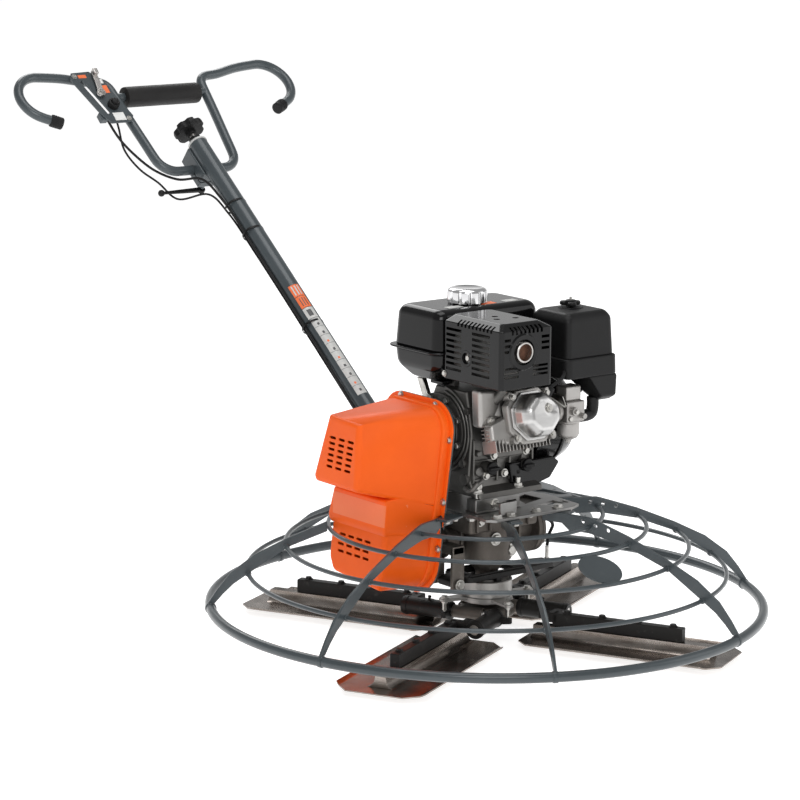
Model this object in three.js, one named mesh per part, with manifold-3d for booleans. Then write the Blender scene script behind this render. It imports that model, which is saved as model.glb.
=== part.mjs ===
// Walk-behind power trowel: a petrol engine drives a four-blade rotor through a belt and a worm gearbox.
// Millimetres. +Z up, the slab is Z = 0, the rotor turns about the Z axis.
// -Y is the front of the machine, the mast and the handlebar reach back to +Y, +X is the operator's left.
import * as THREE from "three";
import { mergeVertices } from "three/addons/utils/BufferGeometryUtils.js";
import { ConvexGeometry } from "three/addons/geometries/ConvexGeometry.js";
import Module from "manifold-3d";

const wasm = await Module();
wasm.setup();

// ---------------------------------------------------------------- driving dimensions

const GAP = 0.3; // running and resting gap between pieces
const DEG = Math.PI / 180;

// rotor
const BLADE_LENGTH = 457;
const BLADE_WIDTH = 203;
const BLADE_SHEET = 3;
const BLADE_INNER_R = 103;
const BLADE_FIRST_ANGLE = 27;
const PIVOT_OFFSET = 48; // the blade arm turns about a shaft beside the blade's centre line
const PIVOT_Z = 44.5;
const BARREL_R = 19;
const SPIDER_SHAFT_R = 10.5;
const BAR_TOP_Z = 58;
const BAR_HEIGHT = 30;
const BAR_END_R = 454;
const RIB_TOP_Z = BAR_TOP_Z - BAR_HEIGHT - GAP;
const SHAFT_R = 15;

// thrust collar, pressure plate and yoke
const COLLAR_R = 55.5;
const COLLAR_Z = [79.5, 115];
const PLATE_Z = [73, 79.2];
const SKIRT_Z = 67;
const EAR = [63, 78]; // along the arm, across the arm
const FINGER_TOP_Z = 48.4;
const NECK_R = 24;
const NECK_BOTTOM_Z = 84;

// gearbox
const WORM_Y = 45;
const WORM_Z = 200;
const WHEEL_R = 32;

// base plate and engine seat
const DECK_Z = 281.5;
const DECK_THICK = 6;
const SEAT_Z = 317.5;

// engine
const CRANK_Y = 30;
const CRANK_Z = 449.5;
const CYLINDER_X = -17;

// belt drive
const FLANGE_X = -165;
const BELT_X = -200;
const BELT_WIDTH = 24;
const CLUTCH_R = 36;
const PULLEY_R = 50;
const BELT_THICK = 7;

// guard
const RING_R = 594;
const RING_TUBE_R = 10.65;
const RING_Z = 62.5;
const HOOPS = [
  { r: 514, z: 136.5 },
  { r: 432, z: 193.5 },
  { r: 341, z: 233.5 },
];
const TOP_HOOP = { r: 247, z: 258.5 };
const HOOP_ROD_R = 4.75;
const GUARD_ARM_COUNT = 8;
const GUARD_ARM_PITCH = 47;
const GUARD_TURN = -2.6; // the guard sits a little turned on the deck's slotted holes
const GUARD_ARM_THICK = 6;

// mast
const MAST_ANGLE = 38.4;
const MAST_FOOT = { y: 267, z: 287.5 };
const MAST_R = 22.4;
const MAST_WALL = 3;
const MAST_START = -90;
const MAST_END = 1055;

// handlebar: p runs across the machine, q runs up the handle plane
const HANDLE_ANGLE = 43.15;
const HANDLE_ORIGIN = { y: 1142.6, z: 942.8 };
const HANDLE_TUBE_R = 11.5;
const CROSS_Q = -85;
const GRIP_Q = 152;
const GRIP_R = 25;
const CABLE_R = 3;

// ---------------------------------------------------------------- geometry helpers

const V3 = (x, y, z) => new THREE.Vector3(x, y, z);

function solidOf(geometry) {
  const g = (geometry.index ? geometry.toNonIndexed() : geometry).clone();
  g.deleteAttribute("normal");
  g.deleteAttribute("uv");
  const merged = mergeVertices(g, 1e-4);
  const triVerts = new Uint32Array(merged.index.array);
  const vertProperties = new Float32Array(merged.attributes.position.array);
  return new wasm.Manifold(new wasm.Mesh({ numProp: 3, vertProperties, triVerts }));
}

function geometryOf(solid) {
  const mesh = solid.getMesh();
  const g = new THREE.BufferGeometry();
  g.setAttribute("position", new THREE.BufferAttribute(new Float32Array(mesh.vertProperties), 3));
  g.setIndex(new THREE.BufferAttribute(new Uint32Array(mesh.triVerts), 1));
  g.computeVertexNormals();
  return g;
}

function join(...pieces) {
  return geometryOf(pieces.map(solidOf).reduce((a, b) => a.add(b)));
}

function cut(base, ...tools) {
  return geometryOf(tools.map(solidOf).reduce((a, b) => a.subtract(b), solidOf(base)));
}

function common(a, b) {
  return geometryOf(solidOf(a).intersect(solidOf(b)));
}

function box(x, y, z) {
  const g = new THREE.BoxGeometry(x[1] - x[0], y[1] - y[0], z[1] - z[0]);
  return g.translate((x[0] + x[1]) / 2, (y[0] + y[1]) / 2, (z[0] + z[1]) / 2);
}

// A cylinder or cone along the named axis. centre holds the other two coordinates in X, Y, Z order.
function rod(axis, radius, span, centre = [0, 0], sides = 24, endRadius = radius) {
  const g = new THREE.CylinderGeometry(endRadius, radius, span[1] - span[0], sides);
  const mid = (span[0] + span[1]) / 2;
  if (axis === "x") return g.rotateZ(-Math.PI / 2).translate(mid, centre[0], centre[1]);
  if (axis === "y") return g.translate(centre[0], mid, centre[1]);
  return g.rotateX(Math.PI / 2).translate(centre[0], centre[1], mid);
}

// A turned piece about Z. profile is a list of [radius, height], counter-clockwise in the r-z plane.
function turned(profile, sides = 32) {
  const points = profile.map(([r, z]) => new THREE.Vector2(r, z));
  points.push(points[0].clone());
  return new THREE.LatheGeometry(points, sides).rotateX(Math.PI / 2);
}

function shapeOf(points, holes = []) {
  const shape = new THREE.Shape(points.map(([u, v]) => new THREE.Vector2(u, v)));
  shape.holes = holes.map((h) => new THREE.Path(h.map(([u, v]) => new THREE.Vector2(u, v))));
  return shape;
}

// An outline extruded along the named axis: u, v are Y, Z on x, X, Z on y and X, Y on z.
function prism(axis, points, span, holes = [], bevel = 0) {
  const depth = span[1] - span[0] - 2 * bevel;
  const options = { depth, bevelEnabled: bevel > 0, bevelSize: bevel, bevelThickness: bevel };
  options.bevelOffset = -bevel;
  options.bevelSegments = 2;
  const g = new THREE.ExtrudeGeometry(shapeOf(points, holes), options).translate(0, 0, bevel);
  const basis = new THREE.Matrix4();
  if (axis === "x") basis.makeBasis(V3(0, 1, 0), V3(0, 0, 1), V3(1, 0, 0)).setPosition(span[0], 0, 0);
  if (axis === "y") basis.makeBasis(V3(1, 0, 0), V3(0, 0, 1), V3(0, -1, 0)).setPosition(0, span[1], 0);
  if (axis === "z") basis.makeTranslation(0, 0, span[0]);
  return g.applyMatrix4(basis);
}

function arc(cu, cv, r, from, to, steps) {
  const points = [];
  for (let i = 0; i <= steps; i++) {
    const a = (from + ((to - from) * i) / steps) * DEG;
    points.push([cu + r * Math.cos(a), cv + r * Math.sin(a)]);
  }
  return points;
}

function circle(cu, cv, r, sides = 16) {
  return arc(cu, cv, r, 0, 360 - 360 / sides, sides - 1);
}

function rounded(u, v, r, steps = 3) {
  return [
    ...arc(u[1] - r, v[1] - r, r, 0, 90, steps),
    ...arc(u[0] + r, v[1] - r, r, 90, 180, steps),
    ...arc(u[0] + r, v[0] + r, r, 180, 270, steps),
    ...arc(u[1] - r, v[0] + r, r, 270, 360, steps),
  ];
}

// A round bar swept along a path of points. Corners are smoothed by the curve.
function swept(points, radius, sides, steps, closed = false, tension = 0.5) {
  const curve = new THREE.CatmullRomCurve3(points, closed, "centripetal", tension);
  const section = shapeOf(circle(0, 0, radius, sides));
  return new THREE.ExtrudeGeometry(section, { steps, extrudePath: curve, bevelEnabled: false });
}

// The convex solid around points given as [x, y, z].
function hull(points) {
  return new ConvexGeometry(points.map(([x, y, z]) => V3(x, y, z)));
}

function torus(radius, tubeRadius, z, around = 64, sides = 8) {
  return new THREE.TorusGeometry(radius, tubeRadius, sides, around).translate(0, 0, z);
}

function turnZ(geometry, degrees) {
  return geometry.clone().rotateZ(degrees * DEG);
}

// ---------------------------------------------------------------- materials

const FINISH = {
  slate: { color: 0x5f6668, roughness: 0.35, metalness: 0.2 },
  orange: { color: 0xeb551e, roughness: 0.45, metalness: 0 },
  blackGloss: { color: 0x101010, roughness: 0.2, metalness: 0.1 },
  blackSatin: { color: 0x1a1a1b, roughness: 0.55, metalness: 0 },
  castIron: { color: 0x6d655f, roughness: 0.7, metalness: 0.5 },
  aluminium: { color: 0xa8a9aa, roughness: 0.45, metalness: 0.9 },
  steel: { color: 0x8b8682, roughness: 0.35, metalness: 0.9 },
  darkSteel: { color: 0x4a4440, roughness: 0.5, metalness: 0.8 },
  chrome: { color: 0xd8d8d8, roughness: 0.12, metalness: 1 },
  rubber: { color: 0x17171a, roughness: 0.85, metalness: 0 },
  brass: { color: 0xb08d57, roughness: 0.4, metalness: 0.9 },
};

const trowel = new THREE.Group();

function add(name, finish, geometry, parent = trowel) {
  const mesh = new THREE.Mesh(geometry, new THREE.MeshStandardMaterial(FINISH[finish]));
  mesh.name = name;
  parent.add(mesh);
  return mesh;
}

// ---------------------------------------------------------------- rotor

// A blade arm's own frame: x along the arm, y across it, turned into place about Z.
function armGroup(index) {
  const group = new THREE.Group();
  group.rotation.z = (BLADE_FIRST_ANGLE + 90 * index) * DEG;
  trowel.add(group);
  return group;
}

function bladeShape() {
  const inner = BLADE_INNER_R;
  const outer = BLADE_INNER_R + BLADE_LENGTH;
  const half = BLADE_WIDTH / 2;
  const corner = 38;
  const turnUp = 9;
  const lift = 5;
  // the long edges turn up, so the sheet is an extruded cross-section with its corners cut off
  const section = [
    [-half, lift],
    [-half + turnUp, 0],
    [half - turnUp, 0],
    [half, lift],
    [half - 1, lift + BLADE_SHEET],
    [half - turnUp - 1, BLADE_SHEET],
    [-half + turnUp + 1, BLADE_SHEET],
    [-half + 1, lift + BLADE_SHEET],
  ];
  const sheet = prism("x", section, [inner, outer]);
  const plan = [
    [inner, -half + corner],
    [inner + corner, -half - 1],
    [outer - corner, -half - 1],
    [outer, -half + corner],
    [outer, half - corner],
    [outer - corner, half + 1],
    [inner + corner, half + 1],
    [inner, half - corner],
  ];
  const trimmed = common(sheet, prism("z", plan, [-5, 20]));
  // a folded channel stands along the middle and carries the arm's bar
  const channel = [
    [-16, BLADE_SHEET - 0.5],
    [8, BLADE_SHEET - 0.5],
    [8, RIB_TOP_Z],
    [-16, RIB_TOP_Z],
  ];
  return join(trimmed, prism("x", channel, [inner + 14, outer - 40]));
}

function bladeArmShape() {
  const bar = box([160, BAR_END_R], [-15, 7], [BAR_TOP_Z - BAR_HEIGHT, BAR_TOP_Z]);
  const barrel = rod("x", BARREL_R, [57, 173], [PIVOT_OFFSET, PIVOT_Z], 20);
  const lug = box([118, 172], [6, PIVOT_OFFSET], [PIVOT_Z - 9, BAR_TOP_Z - 4]);
  const lugFoot = box([150, 172], [-15, PIVOT_OFFSET - 10], [PIVOT_Z - 9, BAR_TOP_Z]);
  const fingerOutline = [
    [PIVOT_OFFSET, PIVOT_Z - 14],
    [EAR[1] + 8, FINGER_TOP_Z - 12],
    [EAR[1] + 8, FINGER_TOP_Z],
    [EAR[1] - 8, FINGER_TOP_Z],
    [PIVOT_OFFSET, PIVOT_Z + 14],
  ];
  const finger = prism("x", fingerOutline, [57, 69]);
  const bore = rod("x", SPIDER_SHAFT_R + GAP, [50, 168], [PIVOT_OFFSET, PIVOT_Z], 20);
  return cut(join(bar, barrel, lug, lugFoot, finger), bore);
}

function spiderShape() {
  const disc = rod("z", 52, [31, 55], [0, 0], 24);
  const sleeve = rod("z", 22, [54, 80.5], [0, 0], 24);
  const pieces = [disc, sleeve];
  for (let k = 0; k < 4; k++) {
    const angle = BLADE_FIRST_ANGLE + 90 * k;
    const shaft = rod("x", SPIDER_SHAFT_R, [-20, 166], [PIVOT_OFFSET, PIVOT_Z], 12);
    const boss = rod("x", 14, [-14, 54], [PIVOT_OFFSET, PIVOT_Z], 12);
    pieces.push(turnZ(shaft, angle), turnZ(boss, angle));
  }
  return cut(join(...pieces), rod("z", SHAFT_R + GAP, [20, 90], [0, 0], 24));
}

function pressurePlateShape() {
  const disc = rod("z", COLLAR_R, PLATE_Z, [0, 0], 24);
  const skirt = cut(
    rod("z", COLLAR_R, [SKIRT_Z, PLATE_Z[0] + 1], [0, 0], 24),
    rod("z", 47, [SKIRT_Z - 1, PLATE_Z[0]], [0, 0], 24),
  );
  const pieces = [disc, skirt];
  for (let k = 0; k < 4; k++) {
    const angle = BLADE_FIRST_ANGLE + 90 * k;
    const ear = hull([
      ...ringPoints(EAR, 12, PLATE_Z, 8),
      ...ringPoints([EAR[0] * 0.4, EAR[1] * 0.4], 16, PLATE_Z, 6),
    ]);
    const bolt = rod("z", 5, [FINGER_TOP_Z + 4, PLATE_Z[1] + 8], EAR, 6);
    const tip = rod("z", 2.2, [FINGER_TOP_Z + 0.9, FINGER_TOP_Z + 5], EAR, 6);
    pieces.push(turnZ(ear, angle), turnZ(bolt, angle), turnZ(tip, angle));
  }
  return cut(join(...pieces), rod("z", 22 + GAP, [50, 90], [0, 0], 24));
}

function ringPoints(centre, radius, z, count = 12) {
  return circle(centre[0], centre[1], radius, count).flatMap(([x, y]) => z.map((h) => [x, y, h]));
}

function thrustCollarShape() {
  const inner = NECK_R + 1;
  const profile = [
    [inner, COLLAR_Z[0]],
    [COLLAR_R, COLLAR_Z[0]],
    [COLLAR_R, COLLAR_Z[1]],
    [COLLAR_R - 7, COLLAR_Z[1]],
    [COLLAR_R - 9, COLLAR_Z[1] - 8],
    [inner + 8, COLLAR_Z[1] - 8],
    [inner + 6, COLLAR_Z[1]],
    [inner, COLLAR_Z[1]],
  ];
  return turned(profile, 24);
}

function outputShaftShape() {
  return join(
    rod("z", SHAFT_R, [24, 262], [0, 0], 16),
    rod("z", 24, [24, 30.5], [0, 0], 20),
  );
}

function wormWheelShape() {
  const teeth = 20;
  const outline = [];
  for (let i = 0; i < teeth; i++) {
    const a = (360 / teeth) * i;
    outline.push(...arc(0, 0, WHEEL_R - 4, a - 6, a - 5, 1), ...arc(0, 0, WHEEL_R, a - 2, a + 2, 1));
  }
  const hub = rod("z", 22, [WORM_Z - 20, WORM_Z + 20], [0, 0], 16);
  const bore = rod("z", SHAFT_R + GAP, [WORM_Z - 30, WORM_Z + 30], [0, 0], 16);
  return cut(join(prism("z", outline, [WORM_Z - 10, WORM_Z + 10]), hub), bore);
}

function buildRotor() {
  add("output_shaft", "steel", outputShaftShape());
  add("worm_wheel", "brass", wormWheelShape());
  add("spider_hub", "castIron", spiderShape());
  add("pressure_plate", "aluminium", pressurePlateShape());
  add("thrust_collar", "aluminium", thrustCollarShape());
  for (let k = 0; k < 4; k++) {
    const group = armGroup(k);
    add(`blade_arm_${k + 1}`, "darkSteel", bladeArmShape(), group);
    add(`blade_${k + 1}`, "steel", bladeShape(), group);
  }
}

// ---------------------------------------------------------------- pitch yoke

const YOKE_PIVOT = { x: -108, z: 122 };

function yokeShape() {
  const slot = [-52, 40];
  const outer = prism("z", rounded([-88, 92], [-44, 44], 16), [121, 133]);
  const window = prism("z", rounded([slot[0], 56], [-31, 31], 14), [110, 140]);
  const root = prism("y", [[-116, 112], [-60, 116], [-60, 134], [-100, 134], [-118, 128]], [-22, 22]);
  const tail = box([84, 164], [-30, 9], [119, 133]);
  const pads = box([-7, 7], [-44, 44], [107.6, 124]);
  const padWindow = box([-20, 20], [-34, 34], [105, 125]);
  const pin = rod("y", 8, [-36, 36], [YOKE_PIVOT.x, YOKE_PIVOT.z], 12);
  const pushRod = rod("z", 4, [130, 166], [152, -21], 10);
  return join(cut(outer, window), root, tail, cut(pads, padWindow), pin, pushRod);
}

// ---------------------------------------------------------------- gearbox

function gearboxShape() {
  const top = DECK_Z - GAP;
  const wheelCase = rod("z", 54, [158, top], [0, 0], 20);
  const wormCase = rod("x", 31, [-122, 138], [WORM_Y, WORM_Z], 16);
  const pedestal = box([-88, 100], [-50, 88], [228, top]);
  const flange = prism("z", rounded([-100, 112], [-62, 100], 14), [top - 12, top]);
  const endFlange = rod("x", 57, [138, 148.5], [WORM_Y, WORM_Z], 24);
  const cone = rod("z", NECK_R, [126, 160], [0, 0], 20, 50);
  const neck = rod("z", NECK_R, [NECK_BOTTOM_Z, 130], [0, 0], 20);
  const ribs = [0, 45, 90, 135].map((a) => {
    const rib = prism("y", [[-50, 158], [50, 158], [NECK_R - 2, 134], [-NECK_R + 2, 134]], [-4, 4]);
    return turnZ(rib, a + 20);
  });
  const bracket = join(
    box([-124, -92], [-38, -29], [112, 205]),
    box([-124, -92], [29, 38], [112, 205]),
    box([-124, -92], [-38, 38], [186, 205]),
  );
  const pinHoles = rod("y", 8.6, [-60, 60], [YOKE_PIVOT.x, YOKE_PIVOT.z], 12);
  const wheelRoom = rod("z", 42, [172, 250], [0, 0], 16);
  const wormRoom = rod("x", 19, [-110, 150], [WORM_Y, WORM_Z], 16);
  const bearingSeat = rod("x", 25.4, [112, 150], [WORM_Y, WORM_Z], 16);
  const inputHole = rod("x", 13.4, [-130, -100], [WORM_Y, WORM_Z], 16);
  const shaftHole = rod("z", SHAFT_R + 0.6, [70, 268], [0, 0], 16);
  const bearingBore = rod("z", 20, [84 - 1, 100], [0, 0], 16);
  const bearingFit = rod("z", 26.4, [158, 175], [0, 0], 16);
  return cut(
    join(wheelCase, wormCase, pedestal, flange, endFlange, cone, neck, ...ribs, bracket),
    pinHoles,
    wheelRoom,
    wormRoom,
    bearingSeat,
    inputHole,
    shaftHole,
    bearingBore,
    bearingFit,
  );
}

function wormShaftShape() {
  const shaft = rod("x", 11, [-216, 134], [WORM_Y, WORM_Z], 12);
  const collars = [];
  for (let i = -1; i <= 1; i++) {
    collars.push(rod("x", 12.6, [i * 12 - 3, i * 12 + 3], [WORM_Y, WORM_Z], 12));
  }
  return join(shaft, ...collars);
}

function bearingShape(inner, outer, width) {
  return turned([[inner, 0], [outer, 0], [outer, width], [inner, width]], 16);
}

function buildGearbox() {
  add("gearbox_housing", "castIron", gearboxShape());
  const cover = join(
    rod("x", 57, [148.8, 158], [WORM_Y, WORM_Z], 32),
    rod("x", 30, [157, 166], [WORM_Y, WORM_Z], 24),
  );
  add("gearbox_end_cover", "castIron", cover);
  const wormBearing = add("worm_bearing", "steel", bearingShape(11.3, 24.8, 14));
  wormBearing.rotation.y = Math.PI / 2;
  wormBearing.position.set(114, WORM_Y, WORM_Z);
  const outputBearing = add("output_bearing", "steel", bearingShape(SHAFT_R + GAP, 25.6, 12));
  outputBearing.position.z = 160;
  add("worm_shaft", "steel", wormShaftShape());
  add("pitch_yoke", "blackSatin", yokeShape());
}

// ---------------------------------------------------------------- guard

function guardArmOutline() {
  return [
    [135, 281],
    [250, 278],
    [340, 249.5],
    [430, 212.5],
    [500, 178],
    [558, 134],
    [600, 74.2],
    [585, 73.6],
    [552, 109],
    [510, 138],
    [430, 192],
    [340, 226],
    [250, 244],
    [200, 244.5],
    [182, 258.5],
    [135, 258.5],
  ];
}

// One arm stops at a hoop, because the belt cover stands where the rest of it would run.
const SHORT_ARM = 1;

function guardStubOutline() {
  const outer = guardArmOutline().filter(([r]) => r > 400);
  return [[345, 247], ...outer, [345, 226]];
}

function guardArmAngle(index) {
  return -90 + GUARD_TURN + GUARD_ARM_PITCH * (index - (GUARD_ARM_COUNT - 1) / 2);
}

function topHoop() {
  const from = guardArmAngle(2) - 1;
  const to = guardArmAngle(6) + 1;
  const points = arc(0, 0, TOP_HOOP.r, from, to, 14).map(([x, y]) => V3(x, y, TOP_HOOP.z));
  return swept(points, HOOP_ROD_R, 5, 16);
}

// The plain round disc stands between two hoops at the front, midway between two arms.
function guardDisc() {
  const angle = -90 + GUARD_TURN;
  const disc = rod("z", 47, [-1.5, 1.5], [0, 0], 20);
  const slope = Math.atan2(HOOPS[2].z - HOOPS[1].z, HOOPS[1].r - HOOPS[2].r);
  disc.rotateY(slope);
  disc.translate((HOOPS[1].r + HOOPS[2].r) / 2, 0, (HOOPS[1].z + HOOPS[2].z) / 2);
  return turnZ(disc, angle);
}

function guardFrameShape() {
  const pieces = HOOPS.map((h) => torus(h.r, HOOP_ROD_R, h.z, 32, 5));
  for (let i = 0; i < GUARD_ARM_COUNT; i++) {
    const half = GUARD_ARM_THICK / 2;
    const outline = i === SHORT_ARM ? guardStubOutline() : guardArmOutline();
    pieces.push(turnZ(prism("y", outline, [-half, half]), guardArmAngle(i)));
  }
  return join(...pieces, topHoop(), guardDisc());
}

function buildGuard() {
  add("guard_ring", "slate", torus(RING_R, RING_TUBE_R, RING_Z, 48, 8));
  add("guard_frame", "slate", guardFrameShape());
}

// ---------------------------------------------------------------- deck, rails and mast foot

function basePlateShape() {
  const outline = [
    [-128, -150],
    [-110, -166],
    [96, -166],
    [128, -150],
    [134, -40],
    [112, 40],
    [112, 128],
    [60, 150],
    [60, 220],
    [-60, 220],
    [-60, 150],
    [-128, 128],
  ];
  const windows = [
    [[44, -112], [108, -128], [104, -92]],
    [[36, -84], [96, -66], [92, -14], [52, -30]],
  ];
  return prism("z", outline, [DECK_Z, DECK_Z + DECK_THICK], windows);
}

function railShape(y) {
  const base = DECK_Z + DECK_THICK + GAP;
  const block = box([-112, 8], y, [base, SEAT_Z - GAP]);
  const slot = box([-30, -4], [-200, 200], [base + 11, base + 18]);
  return cut(block, slot);
}

function mastFootShape() {
  const base = DECK_Z + DECK_THICK + GAP;
  const cheek = [
    [132, base],
    [220, base],
    [292, 292],
    [300, 340],
    [262, 352],
    [226, 330],
    [150, 302],
  ];
  const cheeks = [-1, 1].map((s) => {
    const inside = s * (MAST_R + 1);
    const outside = s * (MAST_R + 8);
    return prism("x", cheek, [Math.min(inside, outside), Math.max(inside, outside)]);
  });
  const sole = box([-52, 52], [132, 219], [base, base + 8]);
  const slot = mastRod(MAST_R + 0.6, MAST_START - 40, MAST_START + 260, 24);
  const spread = box([-24, 24], [132, 150], [base, 302]);
  return join(cut(join(...cheeks, sole, spread), slot), mastPin(5));
}

// The bolt that crosses the mast between the cheeks, above the pitch cable.
function mastPin(radius) {
  const { y, z } = mastPoint(22, 0, 9);
  return rod("x", radius, [-38, 38], [y, z], 12);
}

function mastPoint(s, x = 0, n = 0) {
  const c = Math.cos(MAST_ANGLE * DEG);
  const k = Math.sin(MAST_ANGLE * DEG);
  return V3(x, MAST_FOOT.y + s * c - n * k, MAST_FOOT.z + s * k + n * c);
}

function mastRod(radius, from, to, sides = 24) {
  const g = new THREE.CylinderGeometry(radius, radius, to - from, sides);
  g.translate(0, (from + to) / 2, 0).rotateX(MAST_ANGLE * DEG);
  return g.translate(0, MAST_FOOT.y, MAST_FOOT.z);
}

function buildDeck() {
  add("base_plate", "aluminium", basePlateShape());
  add("engine_rail_front", "aluminium", railShape([-98, -66]));
  add("engine_rail_rear", "aluminium", railShape([96, 126]));
  add("mast_foot", "slate", mastFootShape());
  const bore = mastRod(MAST_R - MAST_WALL, MAST_START - 5, MAST_END + 5, 16);
  add("mast_tube", "slate", cut(mastRod(MAST_R, MAST_START, MAST_END, 24), bore, mastPin(5.4)));
}

// ---------------------------------------------------------------- engine

function crankcaseShape() {
  const outline = [
    [-100, SEAT_Z],
    [-100, SEAT_Z + 12],
    [-70, SEAT_Z + 20],
    [-62, 360],
    [-70, 452],
    [-52, 540],
    [52, 540],
    [66, 512],
    [112, 482],
    [128, 440],
    [124, SEAT_Z + 18],
    [134, SEAT_Z + 12],
    [134, SEAT_Z],
  ];
  const body = prism("x", outline, [-104, 70]);
  const sideCover = rod("x", 74, [-112, -100], [CRANK_Y, CRANK_Z], 24);
  const snout = rod("x", 34, [-126, -110], [CRANK_Y, CRANK_Z], 20);
  const dipstick = join(rod("y", 12, [-88, -60], [-62, 378], 14), box([-76, -48], [-94, -86], [374, 382]));
  const drain = rod("y", 8, [-74, -60], [-90, 340], 10);
  const controlPost = box([20, 34], [96, 146], [470, 484]);
  const tankPosts = [-84, 52].map((x) => box([x, x + 14], [14, 50], [538, 551.5]));
  const crankHole = rod("x", 13.2, [-140, 80], [CRANK_Y, CRANK_Z], 20);
  const solid = join(body, sideCover, snout, dipstick, drain, controlPost, ...tankPosts);
  return cut(solid, crankHole);
}

const CYLINDER_TILT = 14;

// The cylinder leans up and forward: its own frame has y along the bore, away from the crankshaft.
function cylinderFrame() {
  const m = new THREE.Matrix4();
  const c = Math.cos(CYLINDER_TILT * DEG);
  const s = Math.sin(CYLINDER_TILT * DEG);
  m.makeBasis(V3(-1, 0, 0), V3(0, -c, s), V3(0, s, c));
  return m.setPosition(CYLINDER_X, CRANK_Y, CRANK_Z);
}

function cylinderHeadShape() {
  const pieces = [box([-44, 44], [106, 196], [-40, 44])];
  for (let i = 0; i < 7; i++) {
    const y = 112 + i * 9;
    pieces.push(box([-58, 58], [y, y + 3.5], [-52, 54]));
  }
  pieces.push(box([-52, 52], [174, 196], [-48, 50]));
  pieces.push(box([36, 70], [176, 192], [-8, 18]));
  return join(...pieces).applyMatrix4(cylinderFrame());
}

function valveCoverShape() {
  const z = 196 + GAP;
  const level = (inset, height, corner) =>
    rounded([-54 + inset, 54 - inset], [-50 + inset, 52 - inset], corner, 2).map(([u, v]) => [u, z + height, v]);
  const rim = hull([...level(0, 0, 30), ...level(0, 6, 30)]);
  const dome = hull([...level(4, 5, 30), ...level(6, 36, 30), ...level(19, 49, 22)]);
  const nut = rod("y", 8, [z + 48, z + 54], [-15, 12], 6);
  return join(rim, dome, nut).applyMatrix4(cylinderFrame());
}

const FAN_X = [76, 142];
const FAN_R = 114;

const SHIELD = { x: [-134, 5], y: [-200, -10], z: [568, 690], crown: 703, wall: 2 };
const OUTLET = [-74, 644];

function shieldHull(inset) {
  const { x, y, z, crown } = SHIELD;
  const side = rounded([x[0] + inset, x[1] - inset], [y[0] + inset, y[1] - inset], 10, 2);
  const top = rounded([x[0] + 22, x[1] - 22], [y[0] + 22, y[1] - 10], 10, 2);
  return hull([
    ...side.map(([u, v]) => [u, v, z[0] + (inset ? -5 : 0)]),
    ...side.map(([u, v]) => [u, v, z[1] - inset]),
    ...top.map(([u, v]) => [u, v, crown - inset]),
  ]);
}

function mufflerShieldShape() {
  const tools = [shieldHull(SHIELD.wall)];
  for (let i = 0; i < 7; i++) {
    const z = 588 + i * 13.4;
    tools.push(box([-140, -128], [-163, -105], [z, z + 6]));
    tools.push(box([-140, -128], [-70, -22], [z, z + 6]));
  }
  for (let i = 0; i < 3; i++) {
    tools.push(box([-124, -108], [-210, -190], [645 + i * 12, 650 + i * 12]));
    tools.push(box([-26, -6], [-210, -190], [645 + i * 12, 650 + i * 12]));
    tools.push(box([-124, -87], [-210, -190], [592 + i * 9, 597 + i * 9]));
    tools.push(box([-48, -12], [-210, -190], [592 + i * 9, 597 + i * 9]));
  }
  tools.push(rod("y", 24, [-210, -190], OUTLET, 20));
  tools.push(rod("x", 12, [-140, -128], [-86, 620], 14));
  return cut(shieldHull(0), ...tools);
}

function mufflerShape() {
  const can = prism("x", rounded([-176, -26], [580, 672], 26, 4), [-120, -10]);
  const outlet = rod("y", 21, [-206, -160], OUTLET, 20);
  const outletBore = rod("y", 17, [-210, -180], OUTLET, 20);
  const port = rod("z", 17, [571, 582], [-30, -110], 14);
  return cut(join(can, outlet, port), outletBore);
}

function fuelTankShape() {
  const seam = [614, 621];
  const lower = [
    ...rounded([-122, 122], [26, 120], 26, 3).map(([u, v]) => [u, v, 552]),
    ...rounded([-142, 138], [-4, 150], 26, 3).map(([u, v]) => [u, v, 580]),
    ...rounded([-145, 141], [-8, 154], 26, 3).map(([u, v]) => [u, v, seam[1]]),
  ];
  const upper = [
    ...rounded([-145, 141], [-8, 154], 26, 3).map(([u, v]) => [u, v, seam[0]]),
    ...rounded([-140, 136], [-3, 149], 24, 3).map(([u, v]) => [u, v, 694]),
    ...rounded([-128, 124], [9, 137], 18, 3).map(([u, v]) => [u, v, 706]),
  ];
  const lip = prism("z", rounded([-155, 151], [-9, 165], 28, 4), seam);
  const neck = rod("z", 31, [700, 711.5], [-12, 62], 24);
  const mouth = rod("z", 26, [600, 730], [-12, 62], 24);
  const fanRoom = rod("x", FAN_R + 4, [70, 170], [CRANK_Y, CRANK_Z], 32);
  return cut(join(hull(lower), hull(upper), lip, neck), mouth, fanRoom);
}

function fuelCapShape() {
  const profile = [[0, 712], [0, 737], [32, 739], [40, 736], [43, 731], [43, 707.3], [34, 707.3], [34, 712]];
  const cap = turned(profile.reverse(), 20).translate(-12, 62, 0);
  const flutes = [];
  for (let i = 0; i < 8; i++) {
    const a = (i * 360) / 8;
    const x = -12 + 44.5 * Math.cos(a * DEG);
    const y = 62 + 44.5 * Math.sin(a * DEG);
    flutes.push(rod("z", 4, [704, 732], [x, y], 6));
  }
  return cut(cap, ...flutes);
}

const AIR_KNOB = [168, -66];

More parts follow.
